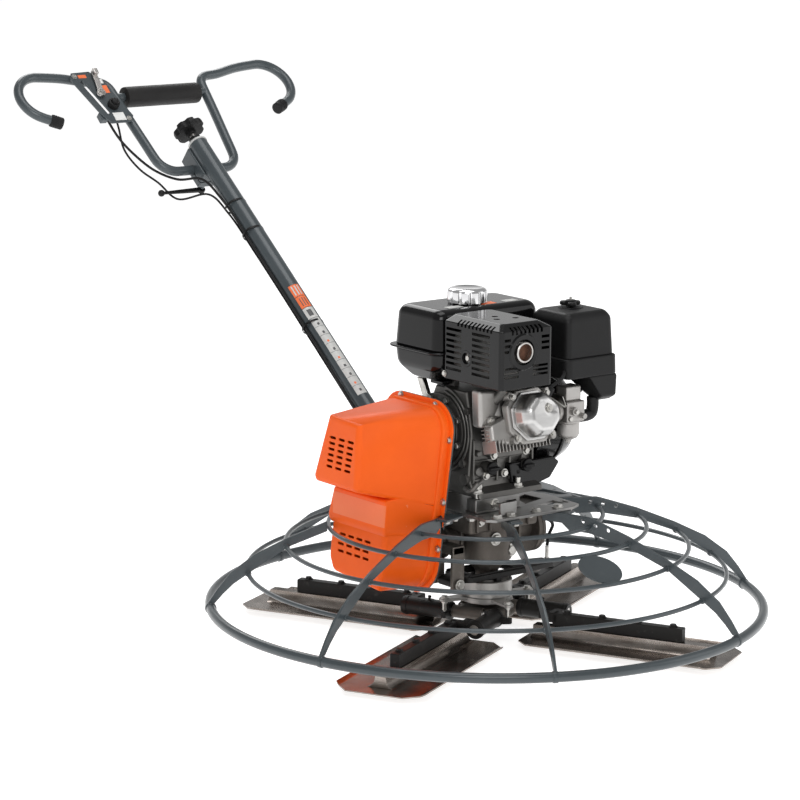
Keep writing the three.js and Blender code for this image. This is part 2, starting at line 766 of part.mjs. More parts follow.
function airCleanerShape() {
  const upper = hull([
    ...rounded([92, 227], [-145, -16], 14, 3).map(([u, v]) => [u, v, 598]),
    ...rounded([95, 223], [-141, -20], 14, 3).map(([u, v]) => [u, v, 682]),
    ...rounded([105, 214], [-130, -30], 14, 3).map(([u, v]) => [u, v, 696]),
  ]);
  const skirt = hull([
    ...rounded([88, 232], [-150, -12], 16, 3).map(([u, v]) => [u, v, 601]),
    ...rounded([89, 233], [-151, -11], 16, 3).map(([u, v]) => [u, v, 558]),
  ]);
  const chin = hull([
    ...[152, 230].flatMap((x) => [[x, -150, 560], [x, -52, 560]]),
    ...[188, 228].flatMap((x) => [[x, -150, 512], [x, -128, 500], [x, -92, 512]]),
  ]);
  const body = join(upper, skirt, chin);
  const room = hull([
    ...rounded([97, 224], [-140, -21], 10, 2).map(([u, v]) => [u, v, 550]),
    ...rounded([99, 218], [-137, -24], 10, 2).map(([u, v]) => [u, v, 678]),
  ]);
  const stud = rod("z", 4, [670, 702], AIR_KNOB, 10);
  return join(cut(body, room), stud);
}

function airCleanerKnobShape() {
  const lobes = [0, 120, 240].map((a) => {
    const x = AIR_KNOB[0] + 15 * Math.cos(a * DEG);
    const y = AIR_KNOB[1] + 15 * Math.sin(a * DEG);
    return rod("z", 9.5, [700, 709], [x, y], 12);
  });
  const hub = rod("z", 12, [698.5, 712], AIR_KNOB, 16);
  const tip = rod("z", 3, [711, 718], AIR_KNOB, 10);
  return cut(join(hub, tip, ...lobes), rod("z", 4.3, [690, 703], AIR_KNOB, 10));
}

function carburettorShape() {
  const bowl = turned([[0, 424], [20, 427], [24, 434], [24, 462], [0, 462]], 20).translate(126, -113, 0);
  const body = box([98, 150], [-142, -88], [460, 512]);
  const intake = box([104, 146], [-130, -96], [511, 545]);
  const manifold = rod("x", 15, [41.4, 100], [-112, 486], 16);
  const elbow = rod("x", 14, [149, 188], [-120, 470], 14);
  const floatPin = rod("z", 6, [414, 426], [126, -112], 8);
  return join(bowl, body, intake, manifold, elbow, floatPin);
}

function chokeLeverShape() {
  const plate = prism("x", [[-128, 494], [-118, 490], [-102, 522], [-108, 528], [-120, 506]], [151, 154]);
  return join(plate, rod("x", 5, [150.5, 158], [-121, 498], 10), rod("x", 5, [153, 167], [-106, 523], 10));
}


function fanHousingShape() {
  const drum = rod("x", FAN_R, FAN_X, [CRANK_Y, CRANK_Z], 28);
  const duct = prism("x", [[-83, 470], [-62, 538], [0, 555], [40, 480], [-40, 400]], FAN_X);
  const room = rod("x", FAN_R - 7, [FAN_X[0] + 4, FAN_X[1] + 5], [CRANK_Y, CRANK_Z], 20);
  const crankHole = rod("x", 20, [70, 90], [CRANK_Y, CRANK_Z], 20);
  return cut(join(drum, duct), room, crankHole);
}

function recoilCoverShape() {
  const from = FAN_X[1] + GAP;
  const dome = turned([[0, 0], [FAN_R - 2, 0], [FAN_R - 2, 8], [102, 44], [86, 54], [0, 54]], 28);
  dome.rotateY(Math.PI / 2).translate(from, CRANK_Y, CRANK_Z);
  const room = turned([[0, -5], [FAN_R - 7, -5], [FAN_R - 7, 6], [96, 40], [82, 50], [0, 50]], 20);
  room.rotateY(Math.PI / 2).translate(from, CRANK_Y, CRANK_Z);
  const eye = rod("z", 14, [522, 560], [from + 26, 78], 16);
  const slots = [];
  for (let i = 0; i < 8; i++) {
    const vent = box([from + 48, from + 60], [46, 76], [-3.5, 3.5]);
    slots.push(vent.rotateX(i * 45 * DEG).translate(0, CRANK_Y, CRANK_Z));
  }
  const ropeHole = rod("z", 4, [500, 570], [from + 26, 78], 10);
  return cut(join(cut(dome, room), eye), ropeHole, ...slots);
}

const RECOIL_HANDLE = { x: FAN_X[1] + GAP + 26, y: 78, z: 560 + GAP };

function recoilHandleShape() {
  const { x, y, z } = RECOIL_HANDLE;
  const bar = hull([
    ...ringPoints([x, y - 26], 10, [z + 12, z + 26], 10),
    ...ringPoints([x, y + 26], 10, [z + 12, z + 26], 10),
  ]);
  const stem = rod("z", 8, [z, z + 14], [x, y], 12);
  const rope = rod("z", 2.5, [z - 30, z + 2], [x, y], 8);
  return join(bar, stem, rope);
}

function flywheelShape() {
  const disc = rod("x", 88, [92, 108], [CRANK_Y, CRANK_Z], 20);
  const vanes = [];
  for (let i = 0; i < 8; i++) {
    const vane = box([107, 122], [50, 86], [-2, 2]);
    vanes.push(vane.rotateX(i * 45 * DEG).translate(0, CRANK_Y, CRANK_Z));
  }
  return cut(join(disc, ...vanes), rod("x", 12.7 + GAP, [80, 130], [CRANK_Y, CRANK_Z], 16));
}

function buildEngine() {
  add("crankcase", "aluminium", crankcaseShape());
  add("cylinder_head", "aluminium", cylinderHeadShape());
  add("valve_cover", "aluminium", valveCoverShape());
  add("muffler", "steel", mufflerShape());
  add("muffler_shield", "blackGloss", mufflerShieldShape());
  add("fuel_tank", "blackGloss", fuelTankShape());
  add("fuel_cap", "chrome", fuelCapShape());
  add("air_cleaner_cover", "blackSatin", airCleanerShape());
  add("air_cleaner_knob", "blackSatin", airCleanerKnobShape());
  add("carburettor", "castIron", carburettorShape());
  add("choke_lever", "steel", chokeLeverShape());
  add("fan_housing", "blackGloss", fanHousingShape());
  add("recoil_cover", "blackGloss", recoilCoverShape());
  add("recoil_handle", "blackSatin", recoilHandleShape());
  add("flywheel", "castIron", flywheelShape());
  add("crankshaft", "steel", rod("x", 12.7, [-216, 134], [CRANK_Y, CRANK_Z], 16));
}

// ---------------------------------------------------------------- belt drive

function pulleyShape(radius, y, z) {
  const half = BELT_WIDTH / 2;
  const profile = [
    [0, -half - 3],
    [radius + 4, -half - 3],
    [radius + 4, -half - 0.6],
    [radius - 0.6, -half - 0.6],
    [radius - 0.6, half + 0.6],
    [radius + 4, half + 0.6],
    [radius + 4, half + 3],
    [0, half + 3],
  ];
  return turned(profile, 16).rotateY(Math.PI / 2).translate(BELT_X, y, z);
}

// The two circles of a belt loop, joined by their outer tangents.
function beltLoop(rTop, rBottom) {
  const dy = CRANK_Y - WORM_Y;
  const dz = CRANK_Z - WORM_Z;
  const length = Math.hypot(dy, dz);
  const heading = Math.atan2(dz, dy) / DEG;
  const spread = Math.acos((rBottom - rTop) / length) / DEG;
  return [
    ...arc(CRANK_Y, CRANK_Z, rTop, heading - spread, heading + spread, 14),
    ...arc(WORM_Y, WORM_Z, rBottom, heading + spread, heading - spread + 360, 14),
  ];
}

function beltShape() {
  const inner = beltLoop(CLUTCH_R, PULLEY_R);
  const outer = beltLoop(CLUTCH_R + BELT_THICK, PULLEY_R + BELT_THICK);
  return prism("x", outer, [BELT_X - BELT_WIDTH / 2, BELT_X + BELT_WIDTH / 2], [inner]);
}

// The cover's flange: wide at the engine, narrow at the gearbox. u is Y, v is Z.
function flangeOutline(inset = 0) {
  return [
    ...arc(86, 468, 60 - inset, 0, 90, 4),
    ...arc(-28, 468, 60 - inset, 90, 180, 4),
    ...arc(44, 188, 88 - inset, 190, 350, 8),
  ];
}

function coverHulls(inset) {
  const near = FLANGE_X - 10 - inset;
  const upperFace = [
    [4, 489],
    [108, 493],
    [165, 346],
    [12, 344],
  ];
  const lowerFace = [
    [-9, 323],
    [150, 321],
    [179, 268],
    [196, 166],
    [182, 134],
    [24, 120],
    [6, 174],
    [0, 238],
  ];
  const middleFace = [[-5, 255], [192, 255], [170, 322], [-12, 322]];
  const middleFoot = [[1, 241], [188, 241]];
  const shrink = (points, by) => {
    const cu = points.reduce((a, p) => a + p[0], 0) / points.length;
    const cv = points.reduce((a, p) => a + p[1], 0) / points.length;
    return points.map(([u, v]) => [u - Math.sign(u - cu) * by, v - Math.sign(v - cv) * by]);
  };
  const root = flangeOutline(12 + inset);
  const upperRoot = root.filter(([, v]) => v > 330);
  const ledge = [[-54 + inset, 300 + inset], [160 - inset, 300 + inset]];
  const foot = [...root, [150 - inset, 250], [150 - inset, 180]];
  const upper = hull([
    ...upperRoot.map(([u, v]) => [near, u, v]),
    ...ledge.map(([u, v]) => [near, u, v]),
    [near, 150 - inset, 440],
    ...shrink(upperFace, inset).map(([u, v]) => [FLANGE_X - 180 + inset, u, v]),
  ]);
  const lower = hull([
    ...foot.filter(([, v]) => v < 345).map(([u, v]) => [near, u, v]),
    [near, -52 + inset, 345],
    [near, 150 - inset, 345],
    ...shrink(lowerFace, inset).map(([u, v]) => [FLANGE_X - 114 + inset, u, v]),
  ]);
  const middle = hull([
    ...[[-44, 241], [-54, 345], [150, 241], [150, 345]].map(([u, v]) => [near, u + (u < 0 ? inset : -inset), v]),
    ...shrink(middleFace, inset).map(([u, v]) => [FLANGE_X - 119 + inset, u, v]),
    ...shrink(middleFoot, inset).map(([u, v]) => [FLANGE_X - 113 + inset, u, v]),
  ]);
  return [upper, middle, lower];
}

function beltCoverShape() {
  const wall = 3;
  const skin = flangeOutline(12);
  const flange = prism("x", flangeOutline(0), [FLANGE_X - 3, FLANGE_X - GAP]);
  const riser = prism("x", skin, [FLANGE_X - 10.5, FLANGE_X - 2]);
  const riserRoom = prism("x", flangeOutline(12 + wall), [FLANGE_X - 14, FLANGE_X + 5]);
  const [upper, middle, lower] = coverHulls(0);
  const [upperRoom, middleRoom, lowerRoom] = coverHulls(wall);
  const vents = [];
  for (let row = 0; row < 6; row++) {
    for (let column = 0; column < 3; column++) {
      const y = 19 + column * 31 + row * 2.4;
      const z = 448 - row * 12.7;
      vents.push(box([FLANGE_X - 190, FLANGE_X - 170], [y, y + 22], [z - 3, z + 3]));
    }
  }
  for (const [z, shift] of [[221, 0], [199, 7], [183, 7]]) {
    for (let column = 0; column < 4; column++) {
      const y = 46 + column * 29 + shift;
      vents.push(box([FLANGE_X - 122, FLANGE_X - 98], [y, y + 22], [z - 3, z + 3]));
    }
  }
  const rooms = [riserRoom, upperRoom, middleRoom, lowerRoom];
  return cut(join(flange, riser, upper, middle, lower), ...rooms, ...vents, guardNotch());
}

// Clears the guard arm that runs past the front edge of the cover.
function guardNotch() {
  return turnZ(box([120, 320], [-5, 5], [242, 284]), guardArmAngle(2));
}

function backPlateShape() {
  const holes = [circle(CRANK_Y, CRANK_Z, 40, 20), circle(WORM_Y, WORM_Z, 20, 16)];
  return cut(prism("x", flangeOutline(0), [FLANGE_X, FLANGE_X + 3], holes), guardNotch());
}

function buildBeltDrive() {
  add("clutch_drum", "steel", cut(pulleyShape(CLUTCH_R, CRANK_Y, CRANK_Z), boreX(12.7, CRANK_Y, CRANK_Z)));
  add("gearbox_pulley", "castIron", cut(pulleyShape(PULLEY_R, WORM_Y, WORM_Z), boreX(11, WORM_Y, WORM_Z)));
  add("drive_belt", "rubber", beltShape());
  add("belt_cover", "orange", beltCoverShape());
  add("belt_back_plate", "slate", backPlateShape());
}

function boreX(radius, y, z) {
  return rod("x", radius + GAP, [BELT_X - 40, BELT_X + 40], [y, z], 16);
}

// ---------------------------------------------------------------- handlebar and controls

function handlePoint(p, q, lift = 0) {
  const c = Math.cos(HANDLE_ANGLE * DEG);
  const s = Math.sin(HANDLE_ANGLE * DEG);
  return V3(p, HANDLE_ORIGIN.y + q * c - lift * s, HANDLE_ORIGIN.z + q * s + lift * c);
}

function handleFrame() {
  const c = Math.cos(HANDLE_ANGLE * DEG);
  const s = Math.sin(HANDLE_ANGLE * DEG);
  const m = new THREE.Matrix4().makeBasis(V3(1, 0, 0), V3(0, c, s), V3(0, -s, c));
  return m.setPosition(0, HANDLE_ORIGIN.y, HANDLE_ORIGIN.z);
}

const HORN = { p: 318, q: 164, r: 66, end: -62 };

// The point a distance past the end of a horn's arc, along its tangent.
function hornEnd(distance) {
  const c = Math.cos(HORN.end * DEG);
  const s = Math.sin(HORN.end * DEG);
  return [HORN.p + HORN.r * c + distance * s, HORN.q + HORN.r * s - distance * c];
}

// Half of the handlebar's centre line, from the clamp to the end of the horn.
function handleHalf() {
  return [
    [0, CROSS_Q],
    [52, CROSS_Q],
    ...arc(64, CROSS_Q + 47, 47, -80, -12, 4),
    [116, 10],
    [124, 92],
    [129, 152],
    ...arc(163, 172, 32, 170, 108, 3),
    [188, 207],
    [250, 222],
    ...arc(HORN.p, HORN.q, HORN.r, 98, HORN.end, 8),
    hornEnd(14),
    hornEnd(29),
    hornEnd(44),
  ];
}

function handlebarShape() {
  const half = handleHalf();
  const right = half.slice(1).map(([p, q]) => [-p, q]).reverse();
  const points = [...right, ...half].map(([p, q]) => handlePoint(p, q));
  const loop = swept(points, HANDLE_TUBE_R, 8, 50);
  const cross = rod("x", HANDLE_TUBE_R - 1, [-130, 130], [GRIP_Q, 0], 12).applyMatrix4(handleFrame());
  return join(loop, cross);
}

function handleCapShape(side) {
  const cap = rod("x", HANDLE_TUBE_R + 3, [0, 30], [0, 0], 14);
  const socket = rod("x", HANDLE_TUBE_R + 0.8, [3.4, 40], [0, 0], 14);
  const [p, q] = hornEnd(47.8);
  const turn = 90 + HORN.end;
  const g = cut(cap, socket).rotateZ((side > 0 ? turn : 180 - turn) * DEG);
  return g.translate(side * p, q, 0).applyMatrix4(handleFrame());
}

function gripShape() {
  const profile = [
    [HANDLE_TUBE_R, -106],
    [GRIP_R - 3, -106],
    [GRIP_R, -102],
    [GRIP_R, 102],
    [GRIP_R - 3, 106],
    [HANDLE_TUBE_R, 106],
  ];
  return turned(profile, 20).rotateY(Math.PI / 2).translate(0, GRIP_Q, 0).applyMatrix4(handleFrame());
}

const PLATE_LIFT = HANDLE_TUBE_R + GAP;
const BUTTON = [-160, 116];
const LEVER_PIVOT = [-178, 152];

function controlPlateShape() {
  const outline = [
    [-236, 204],
    [-226, 224],
    [-176, 226],
    [-152, 200],
    [-118, 82],
    [-130, 64],
    [-186, 64],
    [-200, 84],
  ];
  const quadrantSlot = [[-214, 196], [-206, 200], [-176, 96], [-184, 92]];
  const plate = prism("z", outline.reverse(), [PLATE_LIFT, PLATE_LIFT + 4], [quadrantSlot]);
  const body = rod("z", 14, [PLATE_LIFT + 3, PLATE_LIFT + 18], BUTTON, 20);
  const well = rod("z", 9.5, [PLATE_LIFT + 8, PLATE_LIFT + 30], BUTTON, 20);
  const pivot = rod("z", 10, [PLATE_LIFT + 3, PLATE_LIFT + 7], LEVER_PIVOT, 16);
  return cut(join(plate, body, pivot), well).applyMatrix4(handleFrame());
}

function throttleLeverShape() {
  const base = PLATE_LIFT + 7 + GAP;
  const blade = [[-186, 146], [-170, 144], [-164, 186], [-162, 217], [-174, 221], [-178, 188]];
  const lever = prism("z", blade, [base, base + 4]);
  const hub = rod("z", 11, [base, base + 8], LEVER_PIVOT, 16);
  const tab = box([-174, -162], [206, 222], [base, base + 14]);
  return join(lever, hub, tab).applyMatrix4(handleFrame());
}

function stopButtonShape() {
  const profile = [[0, 12], [9, 12], [9, 22], [7, 25], [0, 25]];
  return turned(profile, 20).translate(BUTTON[0], BUTTON[1], PLATE_LIFT).applyMatrix4(handleFrame());
}

function handleClampShape() {
  const { y, z } = handlePoint(0, CROSS_Q);
  const n = MAST_R + 0.4;
  const saddle = box([-27, 27], [-42, 46], [-n - 32, -8]).rotateX(MAST_ANGLE * DEG).translate(0, y, z);
  const onMast = mastRod(MAST_R + GAP, MAST_START, MAST_END, 24);
  const above = clampOffset();
  saddle.translate(0, above.y, above.z);
  const tubeHole = rod("x", HANDLE_TUBE_R + GAP, [-60, 60], [y, z], 20);
  const splitSlot = box([-60, 60], [-60, 0], [-1.5, 1.5]).rotateX(MAST_ANGLE * DEG).translate(0, y, z);
  const stud = clampRod(5, -34, -8);
  return cut(join(saddle, stud), onMast, tubeHole, splitSlot);
}

function clampOffset() {
  const s = Math.sin(MAST_ANGLE * DEG);
  const c = Math.cos(MAST_ANGLE * DEG);
  const lift = 37;
  return { y: -lift * s, z: lift * c };
}

function clampRod(radius, from, to) {
  const { y, z } = handlePoint(0, CROSS_Q);
  const g = rod("z", radius, [from, to], [0, -28], 12);
  return g.rotateX(MAST_ANGLE * DEG).translate(0, y, z);
}

function clampLeverShape() {
  const { y, z } = handlePoint(0, CROSS_Q);
  const hub = rod("z", 10, [-45, -35], [0, -28], 16);
  const bar = box([-108, 0], [-33, -23], [-43, -37]);
  const ball = new THREE.SphereGeometry(8, 12, 8).translate(-112, -28, -40);
  return join(hub, bar, ball).rotateX(MAST_ANGLE * DEG).translate(0, y, z);
}

function pitchKnobShape() {
  const lobes = [];
  for (let i = 0; i < 7; i++) {
    const a = (i * 360) / 7;
    lobes.push(rod("y", 10, [MAST_END + 42, MAST_END + 58], [28 * Math.cos(a * DEG), 28 * Math.sin(a * DEG)], 8));
  }
  const body = rod("y", 28, [MAST_END + 40, MAST_END + 60], [0, 0], 21);
  const stem = rod("y", 8, [MAST_END - 40, MAST_END + 44], [0, 0], 12);
  const boss = rod("y", 15, [MAST_END + 2, MAST_END + 20], [0, 0], 16);
  const g = join(body, ...lobes, stem, boss);
  return g.rotateX(MAST_ANGLE * DEG).translate(0, MAST_FOOT.y, MAST_FOOT.z);
}

// ---------------------------------------------------------------- cables

const CABLE_SIDE = -(MAST_R + CABLE_R + 0.8);

function throttleCableShape() {
  const points = [
    handlePoint(-188, 112, 7),
    handlePoint(-180, 78, -2),
    handlePoint(-164, 40, -16),
    handlePoint(-140, 0, -26),
    handlePoint(-104, -52, -30),
    handlePoint(-66, -96, -16),
    mastPoint(960, CABLE_SIDE - 9, -18),
    mastPoint(880, CABLE_SIDE - 2, -3),
    mastPoint(700, CABLE_SIDE, 0),
    mastPoint(400, CABLE_SIDE, 0),
    mastPoint(170, CABLE_SIDE - 1, 2),
    V3(-24, 330, 384),
    V3(-4, 262, 398),
    V3(16, 212, 440),
    V3(27, 178, 470),
    V3(27, 147, 477),
  ];
  return swept(points, CABLE_R, 6, 34);
}

function stopWireShape() {
  const points = [
    handlePoint(-160, 100, 7),
    handlePoint(-160, 64, -4),
    handlePoint(-152, 20, -34),
    handlePoint(-124, -28, -52),
    handlePoint(-90, -70, -56),
    handlePoint(-66, -126, -52),
    mastPoint(920, CABLE_SIDE - 4, -30),
    mastPoint(840, CABLE_SIDE + 1, -13),
    mastPoint(700, CABLE_SIDE + 2, -9.5),
    mastPoint(400, CABLE_SIDE + 2, -9.5),
    mastPoint(180, CABLE_SIDE + 1, -9.5),
    V3(-34, 350, 356),
    V3(-26, 316, 372),
    V3(14, 268, 384),
    V3(48, 220, 420),
    V3(58, 180, 432),
    V3(58, 142, 436),
  ];
  return swept(points, CABLE_R - 0.5, 6, 34);
}

function pitchCableShape() {
  const points = [
    mastPoint(MAST_END - 46, 0, -6),
    mastPoint(700, 0, -8),
    mastPoint(300, 0, -9),
    mastPoint(0, 0, -9),
    mastPoint(MAST_START, 0, -6),
    V3(16, 166, 214),
    V3(60, 146, 206),
    V3(120, 142, 203),
    V3(168, 126, 204),
    V3(192, 80, 208),
    V3(194, 30, 210),
    V3(180, -6, 206),
    V3(158, -20, 190),
    V3(152, -21, 167),
  ];
  return swept(points, 3.6, 6, 30);
}

function buildHandle() {
  add("handlebar", "slate", handlebarShape());
  add("handle_cap_left", "rubber", handleCapShape(1));
  add("handle_cap_right", "rubber", handleCapShape(-1));
  add("grip_sleeve", "rubber", gripShape());
  add("control_plate", "slate", controlPlateShape());
  add("throttle_lever", "steel", throttleLeverShape());
  add("stop_button", "blackGloss", stopButtonShape());
  add("handle_clamp", "slate", handleClampShape());
  add("clamp_lever", "blackSatin", clampLeverShape());
  add("pitch_knob", "blackSatin", pitchKnobShape());
  add("throttle_cable", "rubber", throttleCableShape());
  add("stop_switch_wire", "rubber", stopWireShape());
  add("pitch_cable", "rubber", pitchCableShape());
}

// ---------------------------------------------------------------- assembly

buildRotor();
buildGearbox();
buildGuard();
buildDeck();
buildEngine();
buildBeltDrive();
buildHandle();

export default trowel;
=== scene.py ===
"""Looks for the walk-behind power trowel: detailed pieces, materials, floor, lights and camera.

Lengths are in millimetres in the tables and helpers, and become metres when a mesh is made.
+Z is up, the rotor turns about the Z axis, -Y is the machine's front and +X the operator's left.
"""

import math

import bmesh
import bpy
from mathutils import Matrix, Vector


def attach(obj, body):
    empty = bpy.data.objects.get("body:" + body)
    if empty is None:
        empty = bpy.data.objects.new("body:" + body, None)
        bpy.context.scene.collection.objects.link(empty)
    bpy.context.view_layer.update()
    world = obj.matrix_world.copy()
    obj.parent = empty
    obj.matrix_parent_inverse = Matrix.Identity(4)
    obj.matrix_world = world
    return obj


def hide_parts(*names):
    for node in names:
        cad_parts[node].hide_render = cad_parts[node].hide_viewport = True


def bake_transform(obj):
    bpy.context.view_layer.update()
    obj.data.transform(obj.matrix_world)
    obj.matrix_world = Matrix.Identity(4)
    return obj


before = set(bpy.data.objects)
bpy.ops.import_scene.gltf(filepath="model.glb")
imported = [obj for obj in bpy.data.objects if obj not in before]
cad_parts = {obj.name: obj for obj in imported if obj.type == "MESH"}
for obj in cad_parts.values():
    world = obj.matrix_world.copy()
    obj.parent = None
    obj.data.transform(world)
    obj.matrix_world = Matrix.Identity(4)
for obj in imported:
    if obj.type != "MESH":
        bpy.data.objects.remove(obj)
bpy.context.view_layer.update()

MM = 0.001
DEG = math.pi / 180

# ---------------------------------------------------------------- dimensions shared with the model

BLADE_ANGLES = [27 + 90 * k for k in range(4)]
PIVOT_T = 48
PIVOT_Z = 44.5
RING_R, RING_TUBE_R, RING_Z = 594, 10.65, 62.5
HOOPS = [(514, 136.5), (432, 193.5), (341, 233.5)]
TOP_HOOP = (247, 258.5)
HOOP_TUBE_R = 4.75
GUARD_MIDDLE = -92.6
GUARD_ARMS = [GUARD_MIDDLE + 47 * (k - 3.5) for k in range(8)]
SHORT_ARM = 1
DECK_ARMS = [angle for i, angle in enumerate(GUARD_ARMS) if i != SHORT_ARM]
CRANK = (30, 449.5)
WORM = (45, 200)
CYLINDER_X, CYLINDER_TILT = -17, 14
FLANGE_X = -165
MAST_ANGLE, MAST_Y, MAST_Z, MAST_R = 38.4, 267, 287.5, 22.4
MAST_END = 1055
HANDLE_ANGLE, HANDLE_Y, HANDLE_Z = 43.15, 1142.6, 942.8
TUBE_R = 11.5
CROSS_Q = -85
PLATE_LIFT = 11.8
BUTTON, LEVER_PIVOT = (-160, 116), (-178, 152)
AIR_KNOB = (168, -66)
CAP_AT = (-12, 62)


# ---------------------------------------------------------------- mesh helpers


def new_mesh(points, faces):
    mesh = bpy.data.meshes.new("part")
    mesh.from_pydata([Vector(p) * MM for p in points], [], faces)
    return mesh


def with_modifiers(mesh, *settings):
    """The mesh after a stack of modifiers, each given as (type, {property: value})."""
    obj = bpy.data.objects.new("scratch", mesh)
    bpy.context.scene.collection.objects.link(obj)
    for kind, values in settings:
        modifier = obj.modifiers.new(kind.lower(), kind)
        for key, value in values.items():
            setattr(modifier, key, value)
    result = bpy.data.meshes.new_from_object(obj.evaluated_get(bpy.context.evaluated_depsgraph_get()))
    bpy.data.objects.remove(obj)
    return result


def bevelled(mesh, width, segments=3, angle=30):
    if width <= 0:
        return mesh
    values = {"width": width * MM, "segments": segments, "limit_method": "ANGLE", "angle_limit": angle * DEG}
    return with_modifiers(mesh, ("BEVEL", values))


def boolean(mesh, operation, *tools):
    for tool in tools:
        cutter = bpy.data.objects.new("cutter", tool)
        bpy.context.scene.collection.objects.link(cutter)
        values = {"operation": operation, "solver": "EXACT", "object": cutter}
        mesh = with_modifiers(mesh, ("BOOLEAN", values))
        bpy.data.objects.remove(cutter)
    return mesh


def moved(mesh, matrix):
    copy = mesh.copy()
    copy.transform(matrix)
    if matrix.determinant() < 0:
        copy.flip_normals()
    return copy


def translation(x, y, z):
    return Matrix.Translation(Vector((x, y, z)) * MM)


def rotation(degrees, axis):
    return Matrix.Rotation(degrees * DEG, 4, axis)


def turned_z(mesh, degrees):
    return moved(mesh, rotation(degrees, "Z"))


def around(angles, meshes):
    """Copies of the meshes, turned round the rotor's axis to each of the angles."""
    return [turned_z(mesh, angle) for angle in angles for mesh in meshes]


def on(matrix, meshes):
    return [moved(mesh, matrix) for mesh in meshes]


def merged(meshes):
    bm = bmesh.new()
    for mesh in meshes:
        bm.from_mesh(mesh)
    mesh = bpy.data.meshes.new("part")
    bm.to_mesh(mesh)
    bm.free()
    return mesh


AXES = {
    "x": Matrix(((0, 0, 1, 0), (1, 0, 0, 0), (0, 1, 0, 0), (0, 0, 0, 1))),
    "y": Matrix(((1, 0, 0, 0), (0, 0, -1, 0), (0, 1, 0, 0), (0, 0, 0, 1))),
    "z": Matrix.Identity(4),
}


def lathe(profile, segments=64, axis="z", centre=(0, 0, 0)):
    """A turned piece. profile is [(radius, height)], with its ends on the axis or alike."""
    points, faces, rings = [], [], []
    for radius, height in profile:
        if radius < 1e-6:
            rings.append([len(points)])
            points.append((0, 0, height))
            continue
        rings.append(list(range(len(points), len(points) + segments)))
        for i in range(segments):
            a = 2 * math.pi * i / segments
            points.append((radius * math.cos(a), radius * math.sin(a), height))
    closed = profile[0][0] > 1e-6 and profile[-1] == profile[0]
    if closed:
        rings[-1] = rings[0]
    for low, high in zip(rings, rings[1:]):
        for i in range(segments):
            j = (i + 1) % segments
            if len(low) == 1:
                faces.append((low[0], high[j], high[i]))
            elif len(high) == 1:
                faces.append((low[i], low[j], high[0]))
            else:
                faces.append((low[i], low[j], high[j], high[i]))
    mesh = new_mesh(points, faces)
    bm = bmesh.new()
    bm.from_mesh(mesh)
    bmesh.ops.delete(bm, geom=[v for v in bm.verts if not v.link_faces], context="VERTS")
    bmesh.ops.recalc_face_normals(bm, faces=bm.faces)
    bm.to_mesh(mesh)
    bm.free()
    mesh.transform(Matrix.Translation(Vector(centre) * MM) @ AXES[axis])
    return mesh


def rod(axis, radius, span, centre=(0, 0), edge=0.8, segments=48, bore=0):
    """A chamfered cylinder along an axis. centre holds the other two coordinates in their order."""
    low, high = span
    if axis == "y":
        low, high = -span[1], -span[0]
    e = min(edge, (high - low) / 2.5)
    steps = [(radius - e, low), (radius - e * 0.3, low + e * 0.3), (radius, low + e)]
    steps += [(radius, high - e), (radius - e * 0.3, high - e * 0.3), (radius - e, high)]
    if bore:
        profile = [(bore, low)] + steps + [(bore, high), (bore, low)]
    else:
        profile = [(0, low)] + steps + [(0, high)]
    where = {"x": (0, *centre), "y": (centre[0], 0, centre[1]), "z": (*centre, 0)}[axis]
    return lathe(profile, segments, axis, where)


def prism(axis, outline, span, holes=(), bevel=1.0, steps=2):
    """An outline extruded along an axis, with rounded edges. u, v are Y, Z on x, X, Z on y and X, Y on z."""
    curve = bpy.data.curves.new("outline", "CURVE")
    curve.dimensions = "2D"
    curve.fill_mode = "BOTH"
    depth = (span[1] - span[0]) * MM
    curve.extrude = depth / 2 - bevel * MM
    curve.bevel_depth = bevel * MM
    curve.bevel_resolution = steps
    curve.offset = -bevel * MM
    for loop in [outline, *holes]:
        spline = curve.splines.new("POLY")
        spline.points.add(len(loop) - 1)
        for point, (u, v) in zip(spline.points, loop):
            point.co = (u * MM, v * MM, 0, 1)
        spline.use_cyclic_u = True
    obj = bpy.data.objects.new("outline", curve)
    bpy.context.scene.collection.objects.link(obj)
    mesh = bpy.data.meshes.new_from_object(obj.evaluated_get(bpy.context.evaluated_depsgraph_get()))
    bpy.data.objects.remove(obj)
    middle = (span[0] + span[1]) / 2
    if axis == "y":
        middle = -middle
    mesh.transform(AXES[axis] @ Matrix.Translation((0, 0, middle * MM)))
    bm = bmesh.new()
    bm.from_mesh(mesh)
    bmesh.ops.remove_doubles(bm, verts=bm.verts, dist=2e-6)
    bmesh.ops.recalc_face_normals(bm, faces=bm.faces)
    bm.to_mesh(mesh)
    bm.free()
    return mesh


def box(x, y, z, bevel=1.0, segments=3):
    points = [(a, b, c) for a in x for b in y for c in z]
    faces = [(0, 1, 3, 2), (4, 6, 7, 5), (0, 4, 5, 1), (2, 3, 7, 6), (0, 2, 6, 4), (1, 5, 7, 3)]
    return bevelled(new_mesh(points, faces), bevel, segments)


def hull(points, bevel=2.0, segments=4, angle=20):
    bm = bmesh.new()
    for p in points:
        bm.verts.new(Vector(p) * MM)
    made = bmesh.ops.convex_hull(bm, input=bm.verts)
    spare = {g for g in made["geom_interior"] + made["geom_unused"] if isinstance(g, bmesh.types.BMVert)}
    bmesh.ops.delete(bm, geom=list(spare), context="VERTS")
    bmesh.ops.dissolve_limit(bm, angle_limit=1 * DEG, verts=bm.verts, edges=bm.edges)
    mesh = bpy.data.meshes.new("hull")
    bm.to_mesh(mesh)
    bm.free()
    return bevelled(mesh, bevel, segments, angle)


